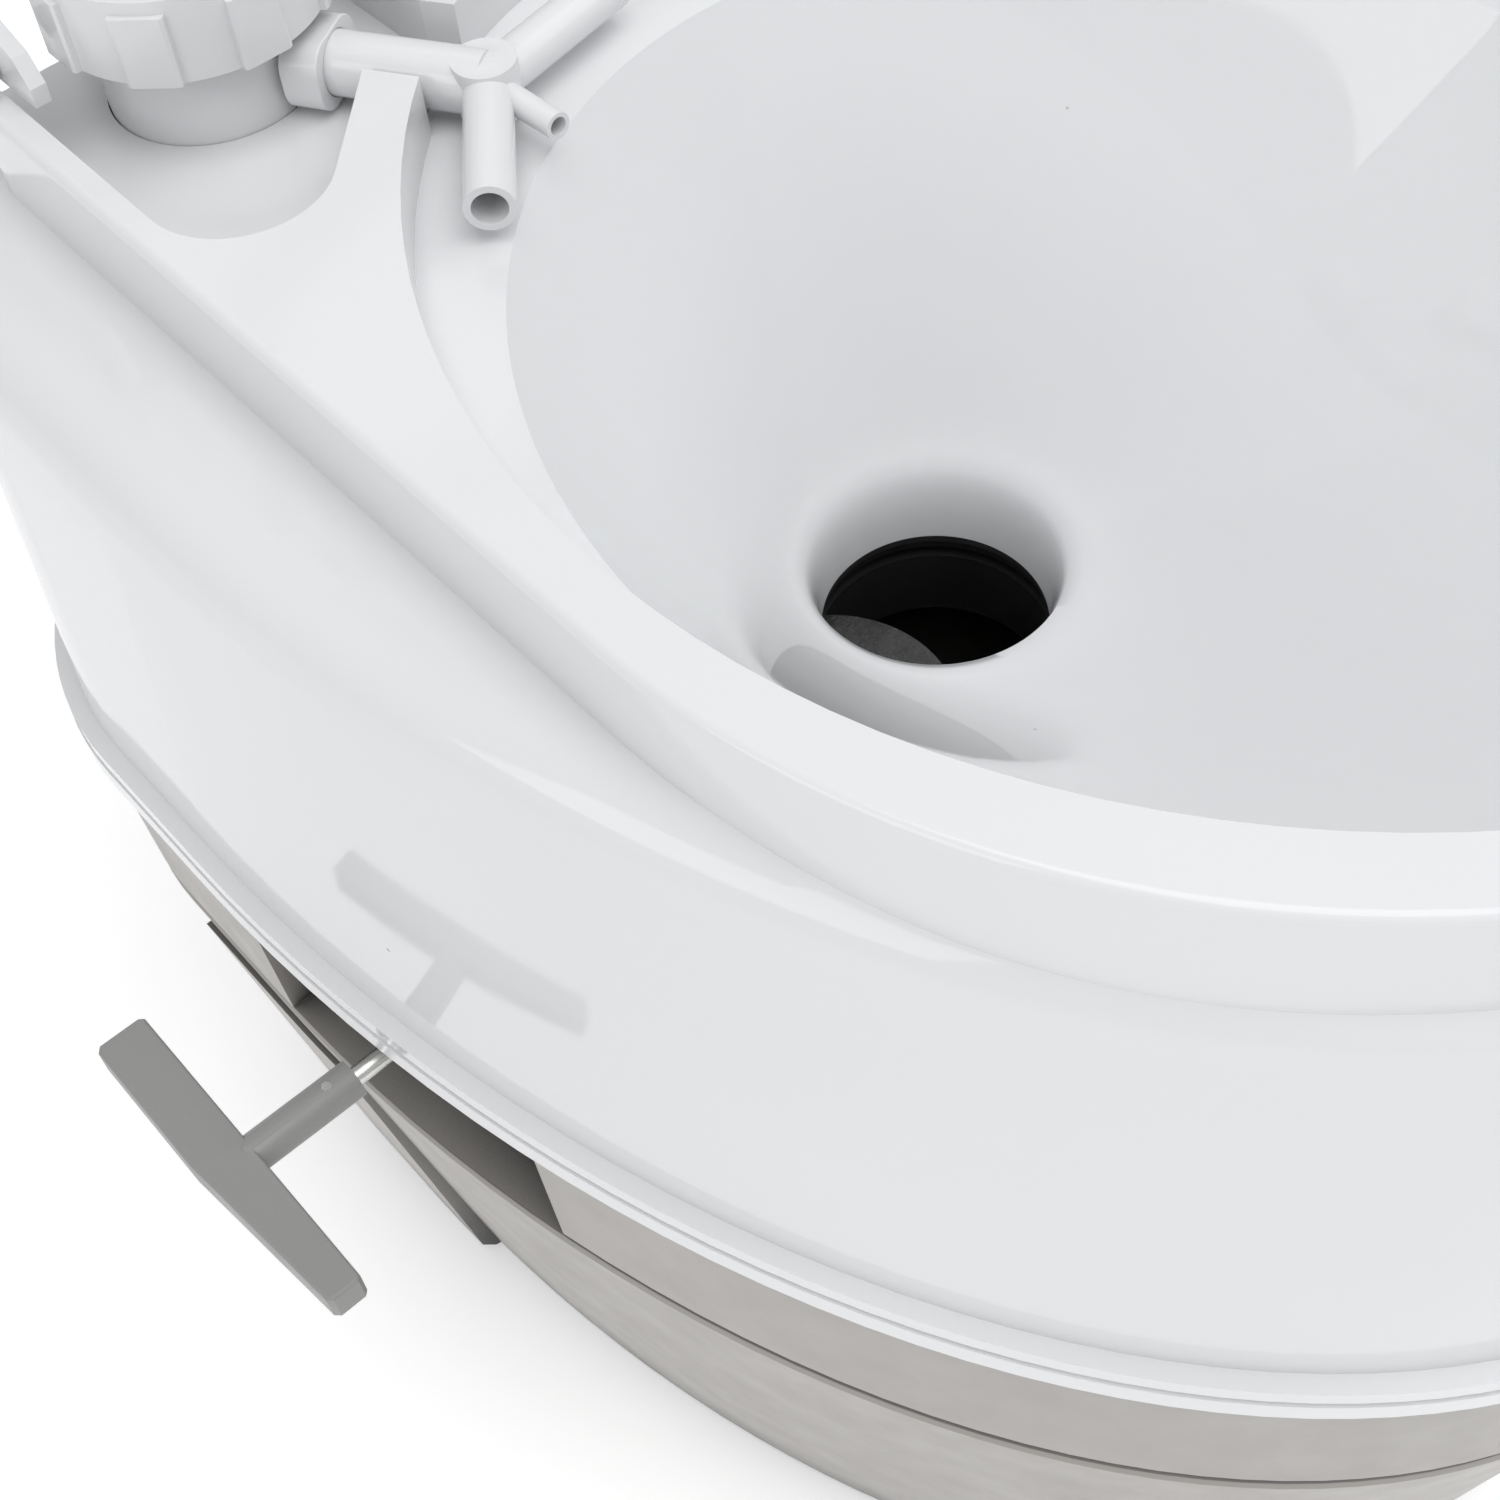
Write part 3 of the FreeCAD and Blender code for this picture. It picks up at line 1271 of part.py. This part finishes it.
def lid_arm(name, x):
    """Hinge arm of the lid: a bar from under the plate back and down to the pin."""
    body = new_body(name)
    profile = new_sketch(body, name + "Profile", x, role="YZ_Plane")
    top = size("lid_bottom") + size("lid_thick") - 1.5
    low = size("lid_bottom") + 2.0
    axis_y = size("hinge_y")
    axis_z = size("hinge_z")
    # the rear edge lies level, just above the deck, when the lid stands open
    lean = size("open_angle") - 90
    back_y = axis_y + 5.6 * math.cos(math.radians(lean))
    back_z = axis_z + 5.6 * math.sin(math.radians(lean))
    knee_y = back_y - 13 * math.sin(math.radians(lean))
    knee_z = back_z + 13 * math.cos(math.radians(lean))
    add_path(profile, [
        arc(axis_y, axis_z, 5.6, 180, 360 + lean),
        line(back_y, back_z, knee_y, knee_z),
        line(knee_y, knee_z, axis_y - 6, top),
        line(axis_y - 6, top, 55.0, top),
        line(55.0, top, 55.0, low),
        line(55.0, low, axis_y - 13, low),
        line(axis_y - 13, low, axis_y - 5.6, axis_z),
    ])
    pad(body, profile, name + "Pad", "3.5")
    return body


lid_arms = [lid_arm("LidArmLeft", "-131.7"), lid_arm("LidArmRight", "128.2")]
lid_bore = cylinder("LidBore", "hinge_bore", "280", "-140", "hinge_y", "hinge_z", "X")
lid_solid = cut("LidSolid", fuse("LidBody", lid_plate(), *lid_arms), lid_bore)
keep(opened(group("LidGroup", [lid_solid])), "lid")


def hinge_post(name, x):
    """Upright ear on the deck strip that carries one hinge pin."""
    body = new_body(name)
    profile = new_sketch(body, name + "Profile", x, role="YZ_Plane")
    add_path(profile, [
        arc(size("hinge_y"), size("hinge_z"), 6.0, 0, 180),
        line(size("hinge_y") - 6.0, size("hinge_z"), 141.0, 360.0),
        line(141.0, 360.0, 159.0, 360.0),
        line(159.0, 360.0, size("hinge_y") + 6.0, size("hinge_z")),
    ])
    pad(body, profile, name + "Pad", "1.6")
    return body


post_bores = [cylinder("PostBore%d" % n, "hinge_pin_radius + 0.03", "280", "-140", "hinge_y", "hinge_z",
                       "X") for n in range(2)]
keep(cut("PostLeft", hinge_post("HingePostLeft", "-133.6"), post_bores[0]), "hinge_post_left")
keep(cut("PostRight", hinge_post("HingePostRight", "132.0"), post_bores[1]), "hinge_post_right")
keep(cylinder("HingePinLeft", "hinge_pin_radius", "10.4", "-133.6", "hinge_y", "hinge_z", "X"),
     "hinge_pin_left")
keep(cylinder("HingePinRight", "hinge_pin_radius", "10.4", "123.2", "hinge_y", "hinge_z", "X"),
     "hinge_pin_right")

seat_bumpers = [
    cylinder("SeatBumper%d" % n, "3", "3.3", x, y, "seat_bottom - 3.3")
    for n, (x, y) in enumerate([("-129.6", "40"), ("129.6", "40"), ("-129.6", "-60"), ("129.6", "-60")])
]
keep(opened(group("SeatBumperGroup", seat_bumpers)), "seat_bumpers")
lid_bumpers = [
    cylinder("LidBumper%d" % n, "4", "11.1", x, y, "lid_bottom + lid_thick - wall - 11.1")
    for n, (x, y) in enumerate([("-112", "0"), ("112", "0"), ("-100", "-110"), ("100", "-110")])
]
keep(opened(group("LidBumperGroup", lid_bumpers)), "lid_bumpers")


# ---------------------------------------------------------------- checks and files
doc.recompute()
for item in doc.Objects:
    if "Invalid" in item.State or "Error" in item.State:
        raise RuntimeError("%s did not compute" % item.Name)

os.makedirs("parts", exist_ok=True)
for part in PARTS:
    shape = part.Shape
    if shape.isNull() or not shape.isValid():
        raise RuntimeError("%s has no sound shape" % part.Label)
    shape.exportStep("parts/%s.step" % part.Label)
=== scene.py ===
"""Portable toilet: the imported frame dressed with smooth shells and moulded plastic."""
import json
import math

import bmesh
import bpy
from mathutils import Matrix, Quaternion, Vector

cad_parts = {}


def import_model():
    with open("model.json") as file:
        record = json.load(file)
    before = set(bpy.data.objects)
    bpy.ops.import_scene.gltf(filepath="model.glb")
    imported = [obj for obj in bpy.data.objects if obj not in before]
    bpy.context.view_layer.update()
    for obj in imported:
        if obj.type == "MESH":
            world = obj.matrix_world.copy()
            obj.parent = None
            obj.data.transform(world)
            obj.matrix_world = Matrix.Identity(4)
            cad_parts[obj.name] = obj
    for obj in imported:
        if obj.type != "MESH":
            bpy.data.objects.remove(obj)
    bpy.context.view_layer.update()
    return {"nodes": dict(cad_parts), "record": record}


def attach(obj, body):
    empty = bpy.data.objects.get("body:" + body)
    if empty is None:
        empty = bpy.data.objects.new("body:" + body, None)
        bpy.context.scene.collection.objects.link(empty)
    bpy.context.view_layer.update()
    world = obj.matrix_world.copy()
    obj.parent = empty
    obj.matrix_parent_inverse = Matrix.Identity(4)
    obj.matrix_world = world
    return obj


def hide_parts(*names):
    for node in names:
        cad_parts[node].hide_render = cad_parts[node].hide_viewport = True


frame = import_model()
NODES = frame["nodes"]
MM = 0.001
BEVEL_SEGMENTS = 3
SHARP_EDGE = 28.0
WELD_DISTANCE = 0.000004


# ------------------------------------------------------------------ materials
DUST_COLOUR = (0.42, 0.41, 0.39)
DUST_SCALE = 30.0
CLOUD_SCALE = 9.0
SHEEN_SCALE = 60.0
GRAIN_DEPTH = 0.0002
HOLLOW_REACH = 0.05


def new_material(name):
    material = bpy.data.materials.new(name)
    material.use_nodes = True
    tree = material.node_tree
    shader = tree.nodes["Principled BSDF"]
    return material, tree, shader


def add_node(tree, kind, **values):
    node = tree.nodes.new(kind)
    for key, value in values.items():
        setattr(node, key, value)
    return node


def noise(tree, scale, detail=3.0, roughness=0.55):
    """Noise in object space, where one unit is a metre."""
    coords = add_node(tree, "ShaderNodeTexCoord")
    texture = add_node(tree, "ShaderNodeTexNoise")
    texture.inputs["Scale"].default_value = scale
    texture.inputs["Detail"].default_value = detail
    texture.inputs["Roughness"].default_value = roughness
    tree.links.new(coords.outputs["Object"], texture.inputs["Vector"])
    return texture.outputs["Fac"]


def ramp(tree, source, low, high, from_low=0.3, from_high=0.7):
    """Map a grey value to a range."""
    node = add_node(tree, "ShaderNodeMapRange")
    node.inputs["From Min"].default_value = from_low
    node.inputs["From Max"].default_value = from_high
    node.inputs["To Min"].default_value = low
    node.inputs["To Max"].default_value = high
    tree.links.new(source, node.inputs["Value"])
    return node.outputs["Result"]


def blend_colours(tree, factor, first, second):
    """Mix two colours, each given as three numbers or as a socket."""
    node = add_node(tree, "ShaderNodeMix", data_type="RGBA")
    tree.links.new(factor, node.inputs["Factor"])
    for socket, colour in (("A", first), ("B", second)):
        target = [item for item in node.inputs if item.name == socket and item.type == "RGBA"][0]
        if isinstance(colour, tuple):
            target.default_value = (*colour, 1.0)
        else:
            tree.links.new(colour, target)
    return [item for item in node.outputs if item.type == "RGBA"][0]


def specks(tree, scale, size):
    """Sparse dust: one where a speck lies, zero elsewhere."""
    coords = add_node(tree, "ShaderNodeTexCoord")
    cells = add_node(tree, "ShaderNodeTexVoronoi")
    cells.inputs["Scale"].default_value = scale
    cells.inputs["Randomness"].default_value = 1.0
    tree.links.new(coords.outputs["Object"], cells.inputs["Vector"])
    return ramp(tree, cells.outputs["Distance"], 1.0, 0.0, size * 0.6, size)


def bump(tree, shader, height, strength, distance):
    node = add_node(tree, "ShaderNodeBump")
    node.inputs["Strength"].default_value = strength
    node.inputs["Distance"].default_value = distance
    tree.links.new(height, node.inputs["Height"])
    tree.links.new(node.outputs["Normal"], shader.inputs["Normal"])


def plastic(name, colour, shade, rough, grain, grain_scale, gloss=0.5, dust=0.0, painted_shade=None):
    """Moulded plastic: cloudy tint, uneven sheen, fine grain, a little dust, painted shade in deep
    corners.
    """
    material, tree, shader = new_material(name)
    cloud = ramp(tree, noise(tree, CLOUD_SCALE, 2.0), 0.0, 1.0)
    tint = blend_colours(tree, cloud, colour, shade)
    if dust:
        tint = blend_colours(tree, specks(tree, DUST_SCALE, dust), tint, DUST_COLOUR)
    if painted_shade:
        # Painted shade: ambient occlusion darkens the colour towards near black in recesses, grooves
        # and deep corners.
        hollows = add_node(tree, "ShaderNodeAmbientOcclusion", samples=8)
        hollows.inputs["Distance"].default_value = HOLLOW_REACH
        openness = ramp(tree, hollows.outputs["AO"], 0.0, 1.0, 0.30, 0.80)
        tint = blend_colours(tree, openness, painted_shade, tint)
    tree.links.new(tint, shader.inputs["Base Color"])
    sheen = ramp(tree, noise(tree, SHEEN_SCALE, 4.0), rough[0], rough[1])
    tree.links.new(sheen, shader.inputs["Roughness"])
    shader.inputs["Specular IOR Level"].default_value = gloss
    bump(tree, shader, noise(tree, grain_scale, 2.0), grain, GRAIN_DEPTH)
    return material


def steel(name):
    """Drawn rod: bright metal with fine lines along it."""
    material, tree, shader = new_material(name)
    coords = add_node(tree, "ShaderNodeTexCoord")
    stretch = add_node(tree, "ShaderNodeMapping")
    stretch.inputs["Scale"].default_value = (20.0, 2600.0, 2600.0)
    lines = add_node(tree, "ShaderNodeTexNoise")
    lines.inputs["Detail"].default_value = 3.0
    tree.links.new(coords.outputs["Object"], stretch.inputs["Vector"])
    tree.links.new(stretch.outputs["Vector"], lines.inputs["Vector"])
    streaks = ramp(tree, lines.outputs["Fac"], 0.0, 1.0)
    tint = blend_colours(tree, streaks, (0.50, 0.50, 0.48), (0.74, 0.73, 0.70))
    tree.links.new(tint, shader.inputs["Base Color"])
    tree.links.new(ramp(tree, lines.outputs["Fac"], 0.16, 0.34), shader.inputs["Roughness"])
    shader.inputs["Metallic"].default_value = 1.0
    bump(tree, shader, lines.outputs["Fac"], 0.15, 0.0001)
    return material


def wet_black(name):
    """Greased black shutter: smeared film with broken highlights."""
    material, tree, shader = new_material(name)
    smear = noise(tree, 70.0, 6.0, 0.7)
    film = ramp(tree, smear, 0.0, 1.0)
    tint = blend_colours(tree, film, (0.006, 0.006, 0.006), (0.035, 0.035, 0.034))
    tree.links.new(tint, shader.inputs["Base Color"])
    tree.links.new(ramp(tree, smear, 0.12, 0.42), shader.inputs["Roughness"])
    shader.inputs["Specular IOR Level"].default_value = 0.6
    bump(tree, shader, noise(tree, 160.0, 5.0, 0.65), 0.8, 0.0012)
    return material


def rubber(name):
    """Matt black rubber with a faint pale bloom."""
    material, tree, shader = new_material(name)
    bloom = noise(tree, 40.0, 3.0)
    patches = ramp(tree, bloom, 0.0, 1.0)
    tint = blend_colours(tree, patches, (0.012, 0.012, 0.012), (0.035, 0.034, 0.033))
    tree.links.new(tint, shader.inputs["Base Color"])
    tree.links.new(ramp(tree, bloom, 0.55, 0.75), shader.inputs["Roughness"])
    bump(tree, shader, noise(tree, 1500.0), 0.3, 0.0002)
    return material


def clear(name):
    """Hazy see-through plastic for the level window."""
    material, tree, shader = new_material(name)
    haze = noise(tree, 50.0, 3.0)
    patches = ramp(tree, haze, 0.0, 1.0)
    tint = blend_colours(tree, patches, (0.82, 0.86, 0.86), (0.90, 0.93, 0.92))
    tree.links.new(tint, shader.inputs["Base Color"])
    tree.links.new(ramp(tree, haze, 0.10, 0.25), shader.inputs["Roughness"])
    shader.inputs["Alpha"].default_value = 0.45
    return material


FINISHES = {
    "white_shell": plastic("white_shell", (0.712, 0.719, 0.727), (0.698, 0.705, 0.714), (0.06, 0.10),
                           0.04, 45.0, gloss=0.38, dust=0.020),
    "bowl_white": plastic("bowl_white", (0.742, 0.750, 0.760), (0.730, 0.738, 0.748), (0.02, 0.04),
                          0.0, 45.0, gloss=0.5, dust=0.018),
    # The grey tank carries painted shade in its recesses and grooves.
    "tank_grey": plastic("tank_grey", (0.360, 0.342, 0.320), (0.336, 0.318, 0.298), (0.34, 0.48),
                         0.22, 1500.0, painted_shade=(0.024, 0.024, 0.023)),
    "handle_grey": plastic("handle_grey", (0.27, 0.27, 0.262), (0.245, 0.245, 0.238), (0.36, 0.50),
                           0.25, 1400.0),
    "inner_grey": plastic("inner_grey", (0.010, 0.010, 0.010), (0.006, 0.006, 0.006), (0.5, 0.65),
                          0.2, 1200.0),
    "blade_black": wet_black("blade_black"),
    "seal_rubber": rubber("seal_rubber"),
    "bright_steel": steel("bright_steel"),
    "clear_window": clear("clear_window"),
}


def paint(piece, slot):
    """One finish over the whole piece."""
    piece.data.materials.clear()
    piece.data.materials.append(FINISHES[slot])


# ------------------------------------------------------------------ refined copies of CAD nodes
SLOT_OF = {item["node"]: item["material_slot"] for item in frame["record"]["subparts"]}
BODY_OF = {}
for body_name, members in frame["record"]["behaviour"]["bodies"].items():
    for member in members:
        BODY_OF[member] = body_name


def smooth_by_angle(mesh, degrees):
    """Smooth shading that keeps edges sharper than the angle."""
    work = bmesh.new()
    work.from_mesh(mesh)
    bmesh.ops.remove_doubles(work, verts=work.verts, dist=WELD_DISTANCE)
    limit = math.radians(degrees)
    for face in work.faces:
        face.smooth = True
    for edge in work.edges:
        edge.smooth = len(edge.link_faces) == 2 and edge.calc_face_angle(0.0) < limit
    work.to_mesh(mesh)
    work.free()


def refined(node, width):
    """Show a copy of a node, its edges softened by a width in millimetres, in the node's place."""
    mesh = NODES[node].data.copy()
    piece = bpy.data.objects.new(node + "_skin", mesh)
    bpy.context.scene.collection.objects.link(piece)
    smooth_by_angle(mesh, SHARP_EDGE)
    if width:
        edges = piece.modifiers.new("soft_edges", "BEVEL")
        edges.width = width * MM
        edges.segments = BEVEL_SEGMENTS
        edges.limit_method = "ANGLE"
        edges.angle_limit = math.radians(SHARP_EDGE)
        edges.use_clamp_overlap = True
        edges.harden_normals = True
    paint(piece, SLOT_OF[node])
    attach(piece, BODY_OF[node])
    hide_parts(node)


SOFT_EDGES = {
    "upper_shell": 0.8,
    "waste_tank": 0.8,
    "seat": 1.0,
    "lid": 1.0,
    "pump_barrel": 0.4,
    "pump_knob": 0.8,
    "flush_nozzle": 0.35,
    "outlet_connector": 0.4,
    "fill_cap": 0.8,
    "fill_neck": 0.3,
    "spout": 0.5,
    "spout_cap": 0.8,
    "pull_handle": 0.0,
    "rear_latch": 0.8,
    "latch_bracket": 0.8,
    "vent_bezel": 0.6,
    "vent_button": 0.8,
    "valve_base": 0.6,
    "valve_cover": 0.4,
    "hinge_post_left": 0.3,
    "hinge_post_right": 0.3,
}
for node_name, soft_width in SOFT_EDGES.items():
    refined(node_name, soft_width)

for node_name, node_object in NODES.items():
    if node_name in SOFT_EDGES or node_name == "bowl":
        continue
    paint(node_object, SLOT_OF[node_name])


# ------------------------------------------------------------------ bowl, as one smooth surface
# All lengths in this section are millimetres.
# Rise above the drain's lower edge and growth of its radius, up the drain's wall.
THROAT = ((0.0, 0.0), (9.0, 0.5), (15.0, 1.3), (19.0, 2.3), (22.0, 3.6))
DRAIN_RADIUS = 28.8
DRAIN_FLARE = 4.6
DRAIN_Z = 204.0
ROUND_Z = 228.0
LEDGE_Z = 345.5
LEDGE_THICKNESS = 2.5
BOWL_WALL = 2.6
RIM_HALF_X = 118.0
RIM_HALF_Y = 137.4
RIM_CENTRE_Y = -62.0
WALL_CURVE = 1.25
FIRST_SHARE = 0.02
RING_STEPS = 40
RING_POINTS = 160
BOWL_SHARP_EDGE = 32.0

# The opening in the shell is an oval of two large and two small arcs.
OPENING_HALF_WIDTH = 124.1
OPENING_SIDE_RADIUS = 176.1
OPENING_CENTRE_Y = -47.0
OPENING_ARC_CHANGE = 51.0
LEDGE_OVERLAP = 2.55


def bowl_ring(share, margin):
    """Half widths, centre and height of the bowl at a share of the way to its rim."""
    throat = DRAIN_RADIUS + DRAIN_FLARE + margin
    half_x = throat + share * (RIM_HALF_X + margin - throat)
    half_y = throat + share * (RIM_HALF_Y + margin - throat)
    height = ROUND_Z + (LEDGE_Z - ROUND_Z) * share ** WALL_CURVE
    return half_x, half_y, share * RIM_CENTRE_Y, height


def bowl_rings(margin):
    """Ellipses from the drain's lower edge up to the rim."""
    rings = []
    for rise, grow in THROAT:
        radius = DRAIN_RADIUS + grow + margin
        rings.append((radius, radius, 0.0, DRAIN_Z + rise))
    for step in range(RING_STEPS + 1):
        share = FIRST_SHARE + (1.0 - FIRST_SHARE) * step / RING_STEPS
        rings.append(bowl_ring(share, margin))
    return rings


def bridge(work, first, second):
    """A band of quads between two rows of vertices."""
    count = len(first)
    for step in range(count):
        after = (step + 1) % count
        work.faces.new((first[step], first[after], second[after], second[step]))


def skin_rings(work, rings):
    """Quads through a stack of ellipses; returns the rows of vertices."""
    rows = []
    for half_x, half_y, centre_y, height in rings:
        row = []
        for step in range(RING_POINTS):
            angle = math.tau * step / RING_POINTS
            spot = Vector((half_x * math.cos(angle), centre_y + half_y * math.sin(angle), height))
            row.append(work.verts.new(spot * MM))
        rows.append(row)
    for low, high in zip(rows[:-1], rows[1:]):
        bridge(work, low, high)
    return rows


def opening_spot(angle, margin):
    """Point of the oval opening's outline in one direction from its centre."""
    half = OPENING_HALF_WIDTH + margin
    radius = OPENING_SIDE_RADIUS + margin
    shift = radius - half
    blend = math.radians(OPENING_ARC_CHANGE)
    end_radius = radius - shift / math.cos(blend)
    end_shift = shift * math.tan(blend)
    heading = Vector((abs(math.cos(angle)), abs(math.sin(angle))))
    best = None
    side_arc = (Vector((-shift, 0.0)), radius)
    end_arc = (Vector((0.0, end_shift)), end_radius)
    for centre, size_of in (side_arc, end_arc):
        offset = heading.dot(centre)
        reach = offset + math.sqrt(offset * offset - centre.length_squared + size_of * size_of)
        spot = heading * reach
        turn = math.atan2(spot.y - centre.y, spot.x - centre.x)
        on_side = size_of == radius and turn <= blend
        on_end = size_of != radius and turn >= blend
        if best is None or on_side or on_end:
            best = spot
    across = math.copysign(best.x, math.cos(angle))
    along = math.copysign(best.y, math.sin(angle)) + OPENING_CENTRE_Y
    return Vector((across, along))


def ledge_row(work, height):
    """Vertices round the ledge's outer edge, which lies under the edge of the shell's opening."""
    row = []
    for step in range(RING_POINTS):
        spot = opening_spot(math.tau * step / RING_POINTS, LEDGE_OVERLAP)
        row.append(work.verts.new(Vector((spot.x, spot.y, height)) * MM))
    return row


def build_bowl():
    """Inner surface, ledge round the rim, outer surface and lower edge of the drain."""
    work = bmesh.new()
    inner = skin_rings(work, bowl_rings(0.0))
    outer = skin_rings(work, bowl_rings(BOWL_WALL)[:-1])
    bridge(work, outer[0], inner[0])
    ledge_top = ledge_row(work, LEDGE_Z)
    ledge_bottom = ledge_row(work, LEDGE_Z - LEDGE_THICKNESS)
    bridge(work, inner[-1], ledge_top)
    bridge(work, ledge_top, ledge_bottom)
    bridge(work, ledge_bottom, outer[-1])
    bmesh.ops.recalc_face_normals(work, faces=work.faces)
    mesh = bpy.data.meshes.new("bowl_skin")
    work.to_mesh(mesh)
    work.free()
    smooth_by_angle(mesh, BOWL_SHARP_EDGE)
    piece = bpy.data.objects.new("bowl_skin", mesh)
    bpy.context.scene.collection.objects.link(piece)
    paint(piece, "bowl_white")
    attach(piece, "unit")
    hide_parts("bowl")


build_bowl()


# ------------------------------------------------------------------ stage, light and camera
FLOOR_HALF_SIZE = 4.0
FLOOR_DROP = 0.0005
FLOOR_GLOW = 0.28
SKY_COLOUR = (0.98, 0.985, 1.0, 1.0)
SKY_STRENGTH = 0.53
CAMERA_SPOT = (-0.25501, -0.25852, 0.63365)
CAMERA_TURN = (36.9388, 3.7123, -41.5823)
CAMERA_LENS = 52.99
SENSOR_WIDTH = 36.0


def floor():
    """A pale matt ground that glows a little, as a white sweep under studio light does."""
    mesh = bpy.data.meshes.new("studio_floor")
    work = bmesh.new()
    bmesh.ops.create_grid(work, x_segments=2, y_segments=2, size=FLOOR_HALF_SIZE)
    work.to_mesh(mesh)
    work.free()
    piece = bpy.data.objects.new("studio_floor", mesh)
    bpy.context.scene.collection.objects.link(piece)
    piece.location.z = -FLOOR_DROP
    material, tree, shader = new_material("pale_floor")
    tint = blend_colours(tree, noise(tree, 3.0), (0.96, 0.96, 0.96), (0.98, 0.98, 0.98))
    tree.links.new(tint, shader.inputs["Base Color"])
    tree.links.new(tint, shader.inputs["Emission Color"])
    shader.inputs["Emission Strength"].default_value = FLOOR_GLOW
    shader.inputs["Roughness"].default_value = 0.9
    mesh.materials.append(material)


def softbox(name, spot, target, width, height, power, roll=0.0):
    """A rectangular area light aimed at a target, rolled about its own axis by some degrees."""
    light = bpy.data.lights.new(name, "AREA")
    light.shape = "RECTANGLE"
    light.size = width
    light.size_y = height
    light.energy = power
    lamp = bpy.data.objects.new(name, light)
    lamp.location = spot
    aim = (Vector(target) - Vector(spot)).to_track_quat("-Z", "Y")
    lamp.rotation_euler = (aim @ Quaternion((0.0, 0.0, 1.0), math.radians(roll))).to_euler()
    bpy.context.scene.collection.objects.link(lamp)


def camera():
    """A close view down on the unit from its front left."""
    data = bpy.data.cameras.new("camera")
    data.lens = CAMERA_LENS
    data.sensor_width = SENSOR_WIDTH
    data.clip_start = 0.01
    viewer = bpy.data.objects.new("camera", data)
    viewer.location = CAMERA_SPOT
    viewer.rotation_euler = [math.radians(angle) for angle in CAMERA_TURN]
    bpy.context.scene.collection.objects.link(viewer)
    bpy.context.scene.camera = viewer


def world():
    """An even, nearly white surround."""
    sky = bpy.data.worlds.new("studio")
    bpy.context.scene.world = sky
    sky.use_nodes = True
    background = sky.node_tree.nodes["Background"]
    background.inputs["Color"].default_value = SKY_COLOUR
    background.inputs["Strength"].default_value = SKY_STRENGTH


floor()
world()
softbox("overhead_softbox", (-0.15, -0.55, 2.2), (0.0, 0.0, 0.3), 1.6, 1.6, 21.0)
softbox("front_softbox", (-0.35, -1.9, 1.2), (0.0, -0.1, 0.25), 2.2, 1.6, 2.0)
softbox("right_softbox", (1.3, -0.5, 1.5), (0.0, 0.0, 0.3), 1.4, 1.4, 8.0)
softbox("side_softbox", (-1.45, -0.098, 1.081), (0.0, -0.098, 1.081), 1.0, 0.7, 4.4, -10.5)
camera()
bpy.context.scene.view_settings.view_transform = "Standard"
